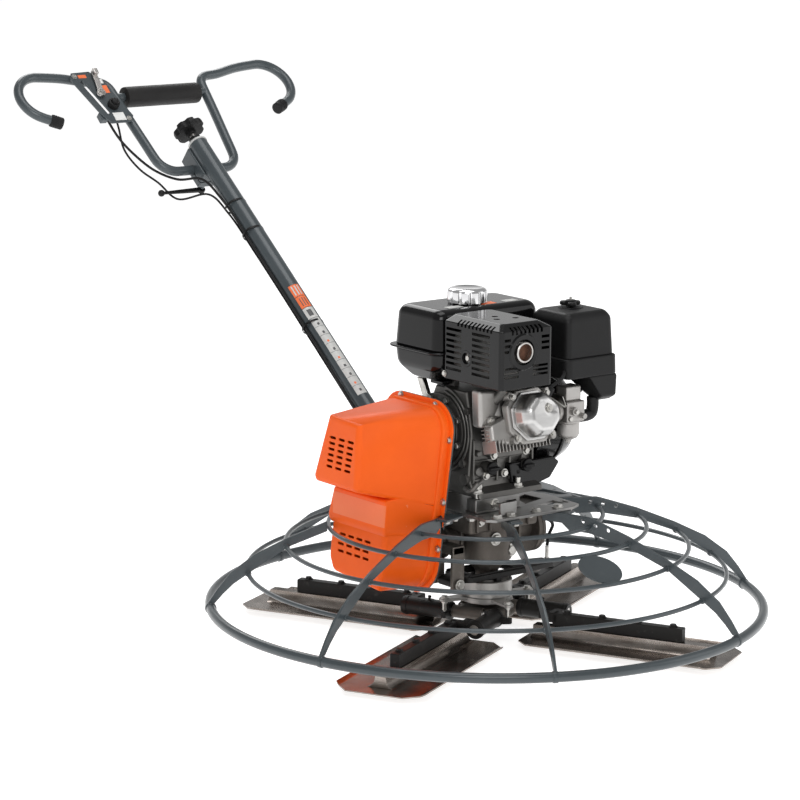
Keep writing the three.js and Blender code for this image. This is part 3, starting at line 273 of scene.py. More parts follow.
def spline_points(points, per_span=8, closed=False):
    """Points on a centripetal curve through the given points."""
    pts = [Vector(p) for p in points]
    if closed:
        pts = [pts[-1], *pts, pts[0], pts[1]]
    else:
        pts = [pts[0] * 2 - pts[1], *pts, pts[-1] * 2 - pts[-2]]
    out = []
    for a, b, c, d in zip(pts, pts[1:], pts[2:], pts[3:]):
        t0 = 0
        t1 = t0 + math.sqrt((b - a).length)
        t2 = t1 + math.sqrt((c - b).length)
        t3 = t2 + math.sqrt((d - c).length)
        for i in range(per_span):
            t = t1 + (t2 - t1) * i / per_span
            ab = a * ((t1 - t) / (t1 - t0)) + b * ((t - t0) / (t1 - t0))
            bc = b * ((t2 - t) / (t2 - t1)) + c * ((t - t1) / (t2 - t1))
            cd = c * ((t3 - t) / (t3 - t2)) + d * ((t - t2) / (t3 - t2))
            abc = ab * ((t2 - t) / (t2 - t0)) + bc * ((t - t0) / (t2 - t0))
            bcd = bc * ((t3 - t) / (t3 - t1)) + cd * ((t - t1) / (t3 - t1))
            out.append(abc * ((t2 - t) / (t2 - t1)) + bcd * ((t - t1) / (t2 - t1)))
    if not closed:
        out.append(pts[-2])
    return out


def tube(points, radius, sides=16, closed=False, per_span=8):
    """A round bar along a smooth curve through the points."""
    path = spline_points(points, per_span, closed)
    count = len(path)
    normal = None
    verts, faces = [], []
    for i, p in enumerate(path):
        after = path[(i + 1) % count] if closed or i + 1 < count else p
        before = path[i - 1] if closed or i else p
        tangent = (after - before).normalized()
        if normal is None:
            side = Vector((0, 0, 1)) if abs(tangent.z) < 0.9 else Vector((1, 0, 0))
            normal = tangent.cross(side).normalized()
        normal = (normal - tangent * normal.dot(tangent)).normalized()
        binormal = tangent.cross(normal)
        for k in range(sides):
            a = 2 * math.pi * k / sides
            verts.append(p + normal * radius * math.cos(a) + binormal * radius * math.sin(a))
    for i in range(count if closed else count - 1):
        j = (i + 1) % count
        for k in range(sides):
            m = (k + 1) % sides
            faces.append((i * sides + k, i * sides + m, j * sides + m, j * sides + k))
    if not closed:
        faces.append(tuple(range(sides - 1, -1, -1)))
        faces.append(tuple((count - 1) * sides + k for k in range(sides)))
    return new_mesh(verts, faces)


def arc(cu, cv, r, start, end, steps):
    span = [start + (end - start) * i / steps for i in range(steps + 1)]
    return [(cu + r * math.cos(a * DEG), cv + r * math.sin(a * DEG)) for a in span]


def circle(cu, cv, r, sides=32):
    return arc(cu, cv, r, 0, 360 - 360 / sides, sides - 1)


def rounded(u, v, r, steps=6):
    """A rectangle with rounded corners."""
    points = arc(u[1] - r, v[1] - r, r, 0, 90, steps)
    points += arc(u[0] + r, v[1] - r, r, 90, 180, steps)
    points += arc(u[0] + r, v[0] + r, r, 180, 270, steps)
    return points + arc(u[1] - r, v[0] + r, r, 270, 360, steps)


def level(z, u, v, r, steps=6):
    """The corners of a rounded rectangle at one height."""
    return [(a, b, z) for a, b in rounded(u, v, r, steps)]


def slab(xs, outline):
    """The corners of an outline in Y, Z at each of two or more X places."""
    return [(x, y, z) for x in xs for y, z in outline]


def torus(radius, tube_radius, z, around_steps=160, sides=20):
    return lathe([(radius + u, z + v) for u, v in [*circle(0, 0, tube_radius, sides),
                                                   (tube_radius, 0)]], around_steps)


def hex_bolt(size, head, axis="z", at=(0, 0, 0), washer=True):
    """A hexagon head standing on at, pointing along the axis. size is the width across the flats."""
    r = size / 2 / math.cos(30 * DEG)
    profile = [(0, 0), (r * 0.97, 0), (r, head * 0.12), (r, head * 0.8), (r * 0.88, head), (0, head)]
    parts = [lathe(profile, 6)]
    if washer:
        parts.append(rod("z", size * 0.75, (-0.3, 1.4), edge=0.3, segments=24))
    return moved(merged(parts), translation(*at) @ aim(axis))


def aim(direction):
    """The rotation that turns +Z to the direction, a vector or an axis name with an optional minus sign."""
    if isinstance(direction, str):
        sign = -1 if direction[0] == "-" else 1
        direction = Vector([sign * (direction[-1] == a) for a in "xyz"])
    return Vector((0, 0, 1)).rotation_difference(Vector(direction)).to_matrix().to_4x4()


# ---------------------------------------------------------------- materials


def node_of(tree, kind, **values):
    node = tree.nodes.new(kind)
    for key, value in values.items():
        if hasattr(node, key):
            setattr(node, key, value)
        else:
            node.inputs[key.replace("_", " ")].default_value = value
    return node


def surface(name, dark, light, rough, metallic=0.0, coat=0.0, patch=6.0, grain=300.0, bump=0.1,
            stretch=(1, 1, 1), specular=0.5, dust=0.0):
    """A painted, cast, machined or moulded surface: two tints in patches, uneven gloss and a fine relief."""
    material = bpy.data.materials.new(name)
    material.use_nodes = True
    tree = material.node_tree
    shader = tree.nodes["Principled BSDF"]
    shader.inputs["Metallic"].default_value = metallic
    shader.inputs["Coat Weight"].default_value = coat
    shader.inputs["Coat Roughness"].default_value = 0.12
    shader.inputs["Specular IOR Level"].default_value = specular
    where = tree.nodes.new("ShaderNodeTexCoord")
    scale = node_of(tree, "ShaderNodeMapping")
    scale.inputs["Scale"].default_value = stretch
    tree.links.new(where.outputs["Object"], scale.inputs["Vector"])
    patches = node_of(tree, "ShaderNodeTexNoise", Scale=patch, Detail=6.0, Roughness=0.6)
    fine = node_of(tree, "ShaderNodeTexNoise", Scale=grain, Detail=4.0, Roughness=0.65)
    for texture in (patches, fine):
        tree.links.new(scale.outputs["Vector"], texture.inputs["Vector"])
    tint = tree.nodes.new("ShaderNodeValToRGB")
    tint.color_ramp.elements[0].position = 0.32
    tint.color_ramp.elements[0].color = (*dark, 1)
    tint.color_ramp.elements[1].position = 0.68
    tint.color_ramp.elements[1].color = (*light, 1)
    tree.links.new(patches.outputs["Fac"], tint.inputs["Fac"])
    colour = tint.outputs["Color"]
    if dust:
        specks = node_of(tree, "ShaderNodeTexNoise", Scale=42.0, Detail=8.0, Roughness=0.75)
        tree.links.new(where.outputs["Object"], specks.inputs["Vector"])
        limit = node_of(tree, "ShaderNodeMapRange")
        limit.inputs["From Min"].default_value = 0.56
        limit.inputs["From Max"].default_value = 0.8
        limit.inputs["To Max"].default_value = dust
        tree.links.new(specks.outputs["Fac"], limit.inputs["Value"])
        mix = tree.nodes.new("ShaderNodeMix")
        mix.data_type = "RGBA"
        mix.inputs[7].default_value = (0.42, 0.4, 0.37, 1)
        tree.links.new(limit.outputs["Result"], mix.inputs[0])
        tree.links.new(colour, mix.inputs[6])
        colour = mix.outputs[2]
    tree.links.new(colour, shader.inputs["Base Color"])
    gloss = node_of(tree, "ShaderNodeMapRange")
    gloss.inputs["To Min"].default_value = rough * 0.75
    gloss.inputs["To Max"].default_value = min(1.0, rough * 1.3)
    tree.links.new(patches.outputs["Fac"], gloss.inputs["Value"])
    tree.links.new(gloss.outputs["Result"], shader.inputs["Roughness"])
    relief = node_of(tree, "ShaderNodeBump", Strength=bump, Distance=0.0004)
    tree.links.new(fine.outputs["Fac"], relief.inputs["Height"])
    tree.links.new(relief.outputs["Normal"], shader.inputs["Normal"])
    return material


# name: (slot in the record, the material's name, dark tint, light tint, roughness, other values of surface)
FINISHES = {
    "slate": ("slate_paint", "slate_paint", (0.047, 0.058, 0.064), (0.062, 0.075, 0.082), 0.3,
              {"metallic": 0.1, "coat": 0.2, "specular": 0.4, "dust": 0.05}),
    "orange": ("orange_paint", "orange_paint", (0.8, 0.098, 0.004), (0.88, 0.118, 0.006), 0.45,
               {"grain": 700, "bump": 0.12, "specular": 0.2}),
    "orange_band": ("orange_paint", "orange_band", (0.8, 0.17, 0.06), (0.86, 0.2, 0.075),
                    0.4, {"specular": 0.2}),
    "black_gloss": ("black_gloss_paint", "black_gloss", (0.003, 0.003, 0.0033), (0.005, 0.005, 0.0053), 0.14,
                    {"bump": 0.03, "specular": 0.3}),
    "black_plastic": ("black_plastic", "black_plastic", (0.005, 0.005, 0.0053), (0.009, 0.009, 0.0093), 0.45,
                      {"grain": 900, "bump": 0.25, "specular": 0.25}),
    "black_paint": ("dark_steel", "black_paint", (0.007, 0.0065, 0.0065), (0.014, 0.013, 0.012), 0.42,
                    {"dust": 0.12, "specular": 0.25}),
    "cast_iron": ("cast_iron", "cast_iron", (0.1, 0.088, 0.078), (0.19, 0.17, 0.15), 0.55,
                  {"metallic": 0.75, "grain": 260, "bump": 0.55, "dust": 0.3}),
    "cast_dark": ("cast_aluminium", "cast_dark", (0.085, 0.082, 0.078), (0.19, 0.185, 0.175), 0.42,
                  {"metallic": 0.85, "grain": 320, "bump": 0.6, "dust": 0.12}),
    "cast": ("cast_aluminium", "cast_aluminium", (0.3, 0.29, 0.275), (0.46, 0.445, 0.43), 0.42,
             {"metallic": 0.9, "grain": 380, "bump": 0.4, "dust": 0.15}),
    "bright": ("cast_aluminium", "bright_aluminium", (0.5, 0.495, 0.49), (0.64, 0.635, 0.625), 0.3,
               {"metallic": 1.0, "grain": 500, "bump": 0.12, "stretch": (1, 1, 7)}),
    "deck": ("cast_aluminium", "deck_aluminium", (0.22, 0.215, 0.21), (0.38, 0.375, 0.365), 0.34,
             {"metallic": 0.95, "stretch": (1, 9, 1), "bump": 0.15, "dust": 0.1}),
    "steel": ("bright_steel", "machined_steel", (0.42, 0.4, 0.38), (0.6, 0.58, 0.56), 0.28,
              {"metallic": 1.0, "stretch": (9, 1, 1), "bump": 0.12}),
    "zinc": ("bright_steel", "zinc_steel", (0.36, 0.35, 0.33), (0.62, 0.61, 0.58), 0.3,
             {"metallic": 1.0, "patch": 60, "bump": 0.1}),
    "blade": ("dark_steel", "blade_steel", (0.2, 0.165, 0.14), (0.42, 0.38, 0.35), 0.24,
              {"metallic": 1.0, "patch": 9, "grain": 420, "bump": 0.2,
               "stretch": (1.2, 1.2, 6), "dust": 0.12}),
    "chrome": ("chrome", "chrome", (0.78, 0.78, 0.79), (0.86, 0.86, 0.87), 0.1,
               {"metallic": 1.0, "bump": 0.03}),
    "rubber": ("rubber", "rubber", (0.006, 0.006, 0.0065), (0.013, 0.013, 0.0135), 0.6,
               {"grain": 650, "bump": 0.5, "specular": 0.25}),
    "foam": ("rubber", "foam_grip", (0.008, 0.0075, 0.0075), (0.018, 0.017, 0.0165), 0.55,
             {"grain": 500, "bump": 0.9, "specular": 0.3}),
    "white": ("black_plastic", "white_plastic", (0.72, 0.72, 0.7), (0.8, 0.8, 0.78), 0.4, {"bump": 0.1}),
    "label": ("black_plastic", "pale_label", (0.5, 0.5, 0.49), (0.62, 0.62, 0.6), 0.35,
              {"patch": 40, "bump": 0.05}),
    "label_dark": ("black_plastic", "dark_print", (0.05, 0.05, 0.052),
                   (0.08, 0.08, 0.082), 0.4, {"bump": 0.05}),
    "brass": ("bronze", "brass", (0.52, 0.36, 0.13), (0.64, 0.46, 0.19), 0.3, {"metallic": 1.0, "bump": 0.2}),
    "rust": ("dark_steel", "rusty_screen", (0.05, 0.022, 0.012), (0.16, 0.075, 0.045), 0.7,
             {"metallic": 0.5, "patch": 70, "bump": 0.6}),
}
MATERIALS = {key: surface(*row[1:5], **row[5]) for key, row in FINISHES.items()}


def piece(name, meshes, body, material, replaces=(), smooth=35):
    """One visible object made of meshes, riding on a body and standing for CAD nodes."""
    mesh = merged(meshes)
    mesh.name = name
    mesh.materials.clear()
    mesh.materials.append(MATERIALS[material])
    mesh.shade_smooth()
    mesh.set_sharp_from_angle(angle=smooth * DEG)
    obj = bpy.data.objects.new(name, mesh)
    bpy.context.scene.collection.objects.link(obj)
    weighted = obj.modifiers.new("weighted", "WEIGHTED_NORMAL")
    weighted.keep_sharp = True
    if body:
        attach(obj, body)
    if replaces:
        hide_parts(*replaces)
    return obj


# ---------------------------------------------------------------- places on the mast and the handle


def mast_frame():
    """Y runs up the mast, Z stands square off it."""
    return translation(0, MAST_Y, MAST_Z) @ rotation(MAST_ANGLE, "X")


def mast_point(s, x=0, n=0):
    c, k = math.cos(MAST_ANGLE * DEG), math.sin(MAST_ANGLE * DEG)
    return Vector((x, MAST_Y + s * c - n * k, MAST_Z + s * k + n * c))


def handle_frame():
    """X, Y lie in the handlebar's plane, Z stands square off it."""
    return translation(0, HANDLE_Y, HANDLE_Z) @ rotation(HANDLE_ANGLE, "X")


def handle_point(p, q, lift=0):
    c, k = math.cos(HANDLE_ANGLE * DEG), math.sin(HANDLE_ANGLE * DEG)
    return Vector((p, HANDLE_Y + q * c - lift * k, HANDLE_Z + q * k + lift * c))


def clamp_frame():
    return translation(*handle_point(0, CROSS_Q)) @ rotation(MAST_ANGLE, "X")


def cylinder_frame():
    """Y runs up the tilted cylinder, X points to the machine's right."""
    c, k = math.cos(CYLINDER_TILT * DEG), math.sin(CYLINDER_TILT * DEG)
    turn = Matrix(((-1, 0, 0, 0), (0, -c, k, 0), (0, k, c, 0), (0, 0, 0, 1)))
    return translation(CYLINDER_X, *CRANK) @ turn


# ---------------------------------------------------------------- rotor


def blade_sheet():
    """The blade: its long edges curl up and its corners are cut off."""
    half, up, lift, thick, cut = 101.5, 14, 5, 3, 38
    inner, outer = 103, 560
    under, over = [], []
    for i in range(7):
        f = i / 6
        y, z = half - up * (1 - f), lift * f * f
        under.append((y, z))
        over.append((y - 0.6 * f, z + thick))
    outline = [(-y, z) for y, z in reversed(under)] + under
    outline += list(reversed(over)) + [(-y, z) for y, z in over]
    sheet = prism("x", outline, (inner, outer), bevel=0.35, steps=1)
    plan = [(inner, -half + cut), (inner + cut, -half), (outer - cut, -half), (outer, -half + cut),
            (outer, half - cut), (outer - cut, half), (inner + cut, half), (inner, half - cut)]
    plan = prism("z", [(u, v * 1.003) for u, v in plan], (-5, 20), bevel=0.01, steps=0)
    return boolean(sheet, "INTERSECT", plan)


def blade_rib():
    """The stiffening rib: it rises from the sheet in a hollow curve on both sides."""
    flank = [(18 * (1 - math.sin(a * DEG)), 3 + 24.7 * (1 - math.cos(a * DEG))) for a in range(0, 91, 15)]
    outline = [(-16 - u, z) for u, z in flank] + [(8 + u, z) for u, z in reversed(flank)]
    return [prism("x", list(reversed(outline)), (117, 520), bevel=0.5, steps=1)]


def blade_arm():
    """The arm's bar, its barrel on the spider's shaft, and the finger that the pressure plate pushes."""
    pivot = (PIVOT_T, PIVOT_Z)
    parts = [box((160, 454), (-15, 7), (28, 58), 2.5), rod("x", 19, (57, 173), pivot, 1.5, 48, bore=11.2)]
    parts += [rod("x", 20.5, span, pivot, 1) for span in ((60, 68), (160, 169))]
    parts.append(hull(slab((118, 172), [(6, 36), (6, 54), (40, 52), (46, 37)]), 3))
    parts.append(hull(slab((150, 172), [(-15, 36), (-15, 58), (20, 58), (38, 55), (38, 36)]), 3))
    parts.append(prism("x", [(48, 31), (86, 36.4), (86, 48.4), (70, 48.4), (48, 58)], (57, 69), bevel=1.6))
    parts.append(rod("z", 3, (62, 72), (112, PIVOT_T), 0.8, 16))
    parts.append(rod("z", 4.2, (68, 70.5), (112, PIVOT_T), 0.5, 6))
    return parts


def blade_bolts():
    return [hex_bolt(13, 6, "z", (x, -4, 58.2)) for x in (190, 270, 350, 430)]


for k, angle in enumerate(BLADE_ANGLES, 1):
    body = f"blade_unit_{k}"
    piece(f"blade_sheet_{k}", around([angle], [blade_sheet()]), body, "blade", [f"blade_{k}"], 25)
    piece(f"blade_rib_{k}", around([angle], blade_rib()), body, "blade", smooth=50)
    piece(f"blade_arm_body_{k}", around([angle], blade_arm()), body, "black_paint", [f"blade_arm_{k}"])
    piece(f"blade_bolts_{k}", around([angle], blade_bolts()), body, "black_paint")


def spider():
    hub = [(15.4, 31), (50, 31), (52, 33), (52, 53), (50, 55), (24, 57), (22, 60), (22, 80),
           (15.4, 80), (15.4, 31)]
    boss = rod("x", 14, (-14, 55), (PIVOT_T, PIVOT_Z), 2)
    web = hull(slab((-10, 50), [(10, 33), (PIVOT_T, 32), (PIVOT_T, 55), (10, 54)]), 3)
    return [lathe(hub), *around(BLADE_ANGLES, [boss, web])]


def spider_shafts():
    shaft = rod("x", 10.5, (-20, 166), (PIVOT_T, PIVOT_Z), 1.2)
    return around(BLADE_ANGLES, [shaft, rod("x", 14, (167, 172), (PIVOT_T, PIVOT_Z), 1)])


def output_shaft():
    return [rod("z", 15, (24, 262), (0, 0), 1), rod("z", 24, (24, 30.5), (0, 0), 1),
            hex_bolt(19, 7, "-z", (0, 0, 24))]


piece("spider_casting", spider(), "rotor", "cast_iron", ["spider_hub"])
piece("spider_shafts", spider_shafts(), "rotor", "steel")
piece("output_shaft_turned", output_shaft(), "rotor", "steel", ["output_shaft"])


ADJUSTER = (63, 78)


def pressure_plate():
    outer = [(22.4, 73), (47, 73), (47, 67), (54.5, 67), (55.5, 68), (55.5, 78.2), (54.5, 79.2),
             (22.4, 79.2), (22.4, 73)]
    ear = [(x, y, z) for x, y in circle(*ADJUSTER, 12, 16) + circle(30, 36, 17, 10) for z in (73, 79)]
    return [lathe(outer), *around(BLADE_ANGLES, [hull(ear, 1.2)])]


def adjusters():
    """The screws over the blade arms' fingers, each with a head and a nut."""
    bolt = [rod("z", 5, (52.4, 82), ADJUSTER, 1, 24), rod("z", 2.2, (49.3, 53), ADJUSTER, 0.3, 16)]
    bolt += [hex_bolt(13, 5, "z", (*ADJUSTER, 79.4)), hex_bolt(13, 4, "z", (*ADJUSTER, 68.5), washer=False)]
    return around(BLADE_ANGLES, bolt)


def thrust_collar():
    return [lathe([(25, 79.5), (54, 79.5), (55.5, 81), (55.5, 113.6), (54, 115), (48.5, 115), (46.5, 107),
                   (33, 107), (31, 115), (25, 115), (25, 79.5)])]


piece("pressure_plate_cast", pressure_plate(), "pressure_plate", "cast", ["pressure_plate"])
piece("pitch_adjusters", adjusters(), "pressure_plate", "zinc")
piece("thrust_collar_turned", thrust_collar(), "thrust_collar", "cast", ["thrust_collar"])

# ---------------------------------------------------------------- pitch yoke


def yoke():
    """The fork that presses the collar down, with its pivot end and the tail for the cable."""
    ring = prism("z", rounded((-88, 92), (-44, 44), 18), (121, 133), [rounded((-52, 56), (-31, 31), 14)], 2)
    root = [(-116, 113), (-60, 117), (-60, 133), (-100, 133), (-117, 128)]
    root = hull([(x, y, z) for y in (-22, 22) for x, z in root], 3)
    tail = hull([(x, y, z) for x, y in ((84, -42), (84, 30), (164, -30), (164, 9)) for z in (119.5, 133)], 3)
    pads = [box((-7, 7), y, (107.8, 123), 1) for y in ((-44, -34), (34, 44))]
    ribs = [box((-80, 84), y, (132, 137), 2) for y in ((-40, -35), (35, 40))]
    return [ring, root, tail, *pads, *ribs]


def yoke_pins():
    parts = [rod("y", 7.5, (-43, 43), (-108, 122), 1), hex_bolt(16, 6, "-y", (-108, -43, 122))]
    return [*parts, rod("z", 4, (132, 166), (152, -21), 0.6, 24), hex_bolt(13, 6, "z", (152, -21, 133.2))]


piece("pitch_yoke_fork", yoke(), "pitch_yoke", "black_paint", ["pitch_yoke"])
piece("pitch_yoke_pin", yoke_pins(), "pitch_yoke", "zinc")

# ---------------------------------------------------------------- gearbox


def gearbox():
    """A worm barrel across a drum on the output shaft's neck, a flange and the yoke's ears."""
    neck = [(15.6, 84), (22, 84), (24, 86), (24, 128), (27, 136), (48, 157), (50, 161),
            (15.6, 161), (15.6, 84)]
    rib = prism("y", [(-51, 160), (51, 160), (26, 134), (22, 118), (-22, 118),
                      (-26, 134)], (-4, 4), bevel=1.5)
    parts = [rod("z", 54, (158, 272), (0, 0), 4, 64), rod("x", 31, (-122, 140), WORM, 3, 64)]
    parts += [box((-88, 100), (-50, 88), (228, 274), 7)]
    parts += [prism("z", rounded((-100, 112), (-62, 100), 14), (269, 281.2), bevel=2)]
    parts += [rod("x", 57, (138, 148.5), WORM, 1.5, 64), lathe(neck)]
    parts += around((20, 65, 110, 155), [rib])
    parts += [box((x - 3, x + 3), (-56, 94), (232, 270), 2) for x in (-70, -35, 0, 35, 70)]
    parts += [prism("x", rounded((8, 82), (163, 237), 30), (x - 4, x + 4), bevel=2)
              for x in (-96, -60, 60, 100)]
    ear = [(-124, 112), (-92, 112), (-92, 205), (-124, 205)]
    parts += [prism("y", ear, y, bevel=2) for y in ((-38, -29), (29, 38))]
    return [*parts, box((-124, -92), (-38, 38), (186, 205), 3)]


def gearbox_bolts():
    parts = [hex_bolt(13, 6, "x", (158, y, z)) for y, z in arc(*WORM, 48, 30, 330, 5)]
    parts += [hex_bolt(15, 7, "-z", (x, y, 269)) for x in (-90, 6, 102) for y in (-56, 94)]
    parts += [hex_bolt(19, 6, "-y", (-20, -54, 212)), hex_bolt(19, 6, "-y", (30, -46, 180))]
    return parts + [hex_bolt(16, 8, "-y", (x, -50, 256)) for x in (-60, 80)]


def gearbox_cover():
    return [rod("x", 57, (148.8, 158), WORM, 2, 64), rod("x", 30, (157, 166), WORM, 2, 48)]


piece("gearbox_casting", gearbox(), "frame", "cast_iron", ["gearbox_housing"])
piece("gearbox_bolts", gearbox_bolts(), "frame", "zinc")
piece("gearbox_cover_cast", gearbox_cover(), "frame", "cast_iron", ["gearbox_end_cover"])
piece("worm_shaft_turned", [rod("x", 11, (-216, 134), WORM, 1, 32)], "worm", "steel", ["worm_shaft"])

# ---------------------------------------------------------------- guard

GUARD_OUTLINE = [
    (135, 281), (246, 279), (258, 276), (340, 249.5), (430, 212.5), (500, 178), (552, 139), (580, 104),
    (600, 74.2), (585, 73.6), (568, 93), (545, 115), (510, 139), (430, 192), (340, 226), (262, 242),
    (246, 244.5), (200, 244.5), (182, 258.5), (135, 258.5),
]


def guard_frame():
    """The eight flat bars. One is cut short at the belt cover, and two have bolt holes."""
    parts = []
    for i, angle in enumerate(GUARD_ARMS):
        outline, holes = GUARD_OUTLINE, []
        if i == SHORT_ARM:
            outline = [(345, 247), *[p for p in GUARD_OUTLINE if p[0] > 400], (345, 225)]
        elif i in (4, 5):
            holes = [circle(r, 262 - (r - 262) * 0.2, 4.5, 20) for r in (232, 262, 292)]
        parts.append(turned_z(prism("y", outline, (-3, 3), holes, 1.1), angle))
    return parts


def guard_hoops():
    parts = [torus(r, HOOP_TUBE_R, z, 160, 14) for r, z in HOOPS]
    start, end = GUARD_ARMS[2] - 1, GUARD_ARMS[6] + 1
    path = [(x, y, TOP_HOOP[1]) for x, y in arc(0, 0, TOP_HOOP[0], start, end, 40)]
    parts.append(tube(path, HOOP_TUBE_R, 14, per_span=2))
    return parts


def guard_welds():
    parts = []
    for i, angle in enumerate(GUARD_ARMS):
        for r, z in HOOPS:
            if i == SHORT_ARM and r < 345:
                continue
            parts.append(turned_z(rod("y", 7, (-6, 6), (r, z), 2.5, 20), angle))
        parts.append(turned_z(rod("y", 12.4, (-5.5, 5.5), (RING_R, RING_Z), 2, 32), angle))
    return parts


def guard_tabs():
    """The welded tabs that hold the arms under the deck."""
    return around(DECK_ARMS, [box((136, 196), (3, 30), (276, 281), 1.2)])


def guard_tab_bolts():
    return around(DECK_ARMS, [hex_bolt(13, 6, "-z", (r, 18, 276)) for r in (150, 180)])


def guard_disc():
    """The plain round disc that lies between two hoops at the front."""
    (r1, z1), (r2, z2) = HOOPS[1:]
    place = rotation(GUARD_MIDDLE, "Z") @ translation((r1 + r2) / 2, 0, (z1 + z2) / 2)
    return on(place @ Matrix.Rotation(math.atan2(z2 - z1, r1 - r2), 4, "Y"),
              [rod("z", 47, (-1.6, 1.6), (0, 0), 0.6, 64)])


piece("guard_ring_tube", [torus(RING_R, RING_TUBE_R, RING_Z, 220, 24)], "frame", "slate", ["guard_ring"])
piece("guard_arms", [*guard_frame(), *guard_tabs(), *guard_disc()], "frame", "slate", ["guard_frame"])
piece("guard_hoops", guard_hoops(), "frame", "slate")
piece("guard_welds", guard_welds(), "frame", "slate")
piece("guard_tab_bolts", guard_tab_bolts(), "frame", "zinc")

# ---------------------------------------------------------------- deck, rails and mast foot


def deck_plate():
    outline = [(-128, -150), (-110, -166), (96, -166), (128, -150), (134, -40), (112, 40), (112, 128),
               (60, 150), (60, 220), (-60, 220), (-60, 150), (-128, 128)]
    windows = [[(44, -112), (108, -128), (104, -92)], [(36, -84), (96, -66), (92, -14), (52, -30)]]
    for x in (-96, -60, 10, 70):
        windows.append(rounded((x - 14, x + 14), (-154, -144), 4.9, 4))
    for x in (-118, 116):
        windows.append(rounded((x - 4, x + 4), (-128, -104), 3.9, 4))
    return prism("z", outline, (281.5, 287.5), windows, 0.8)


def rail(y):
    block = boolean(box((-112, 8), y, (287.8, 317.2), 2), "DIFFERENCE",
                    box((-31, -3), (-200, 200), (298, 306), 0))
    lip = box((-112, 8), (y[0] - 4, y[1] + 4), (287.8, 292), 1.2)
    return [block, lip]


def deck_bolts():
    parts = [hex_bolt(17, 8, "z", (x, y, 330)) for x in (-100, 10) for y in (-88, 118)]
    parts += [rod("z", 5.5, (318, 350), (x, y), 0.8, 24) for x in (-100, 10) for y in (-88, 118)]
    parts += [hex_bolt(17, 7, "z", (x, -149, 287.6)) for x in (-96, -60, 10, 70)]
    parts += [rod("y", 5, (-140, -98), (-62, 303), 0.6, 24), hex_bolt(16, 7, "-y", (-62, -98, 303)),
              hex_bolt(16, 8, "-y", (-62, -132, 303))]
    parts += [hex_bolt(15, 7, "z", (x, y, 295.8)) for x in (-44, 44) for y in (146, 206)]
    pivot = mast_point(22, 0, 9)[1:]
    parts += [hex_bolt(16, 8, "x", (38, *pivot)), hex_bolt(16, 8, "-x", (-38, *pivot))]
    parts += [hex_bolt(13, 6, "-x", (-31, y, z)) for y, z in ((172, 300), (246, 318))]
    return parts


def mast_foot():
    cheek = [(132, 287.8), (220, 287.8), (292, 292), (300, 340), (262, 352), (226, 330), (150, 302)]
    parts = [prism("x", cheek, x, bevel=1.2) for x in ((-30.4, -23.4), (23.4, 30.4))]
    parts.append(box((-52, 52), (132, 219), (287.8, 295.8), 1.5))
    parts.append(box((-24, 24), (132, 150), (289, 302), 1.5))
    return parts


piece("deck_plate", [deck_plate()], "frame", "deck", ["base_plate"])
piece("deck_tension_block", [box((-84, -40), (-146, -138), (287.8, 316), 1.5)], "frame", "deck")
piece("engine_rail_front_cut", rail((-98, -66)), "frame", "deck", ["engine_rail_front"])
piece("engine_rail_rear_cut", rail((96, 126)), "frame", "deck", ["engine_rail_rear"])
piece("deck_bolts", deck_bolts(), "frame", "zinc")
piece("mast_foot_weldment", mast_foot(), "frame", "slate", ["mast_foot"])


ALONG_MAST = mast_frame() @ rotation(-90, "X")


def mast_tube():
    r, wall = MAST_R, 3
    profile = [(r - wall, -90), (r - 0.5, -90), (r, -89), (r, MAST_END - 1), (r - 0.5, MAST_END),
               (r - wall, MAST_END), (r - wall, -90)]
    return on(ALONG_MAST, [lathe(profile, 64)])


def mast_sleeve(radius, low, high, start, end):
    """A thin label wrapped on the mast's tube between two angles."""
    verts, faces, steps = [], [], 24
    for i in range(steps + 1):
        a = (start + (end - start) * i / steps) * DEG
        for s in (low, high):
            verts.append((radius * math.cos(a), s, radius * math.sin(a)))
    for i in range(steps):
        faces.append((2 * i, 2 * i + 1, 2 * i + 3, 2 * i + 2))
    mesh = with_modifiers(new_mesh(verts, faces), ("SOLIDIFY", {"thickness": 0.15 * MM, "offset": 1.0}))
    return moved(mesh, mast_frame())


def mast_end_ring():
    low, high = MAST_END, MAST_END + 5
    profile = [(15.5, low), (23.4, low), (24, low + 0.6), (24, high - 0.6), (23.4, high),
               (15.5, high), (15.5, low)]
    return on(ALONG_MAST, [lathe(profile, 64)])


piece("mast_tube_drawn", mast_tube(), "frame", "slate", ["mast_tube"])
piece("mast_end_ring", mast_end_ring(), "frame", "label")

LABEL_R, PRINT_R = MAST_R + 0.15, MAST_R + 0.32


def mast_labels():
    """Blank labels: coloured fields and a strip of squares with plain blocks, no words or signs."""
    low, high = 74, 142
    orange = [mast_sleeve(LABEL_R, *span, low, high) for span in ((536.5, 571), (501, 535))]
    orange += [mast_sleeve(PRINT_R, s, s + 6, 104, 116) for s in (392, 340, 262)]
    pale = [mast_sleeve(LABEL_R, 467.5, 499.5, low, high), mast_sleeve(LABEL_R, 232, 466, low, 138)]
    pale += [mast_sleeve(PRINT_R, 540, 568, a, a + 8) for a in (84, 102, 122)]
    dark = [mast_sleeve(PRINT_R, 506, 530, a, a + 5) for a in (88, 104, 120)]
    dark += [mast_sleeve(PRINT_R, s, s + 0.8, low + 3, 136) for s in range(258, 466, 26)]
    dark += [mast_sleeve(PRINT_R, s, s + 7, 98, 112) for s in (444, 418, 366, 314, 288, 240)]
    dark += [mast_sleeve(PRINT_R, 474, 493, 96, 124)]
    return orange, pale, dark


orange_labels, pale_labels, dark_labels = mast_labels()
piece("mast_labels_orange", orange_labels, "frame", "orange_band")
piece("mast_labels_pale", pale_labels, "frame", "label")
piece("mast_labels_dark", dark_labels, "frame", "label_dark")

# ---------------------------------------------------------------- engine


CRANK_BOSSES = arc(*CRANK, 70, 22, 337, 7)


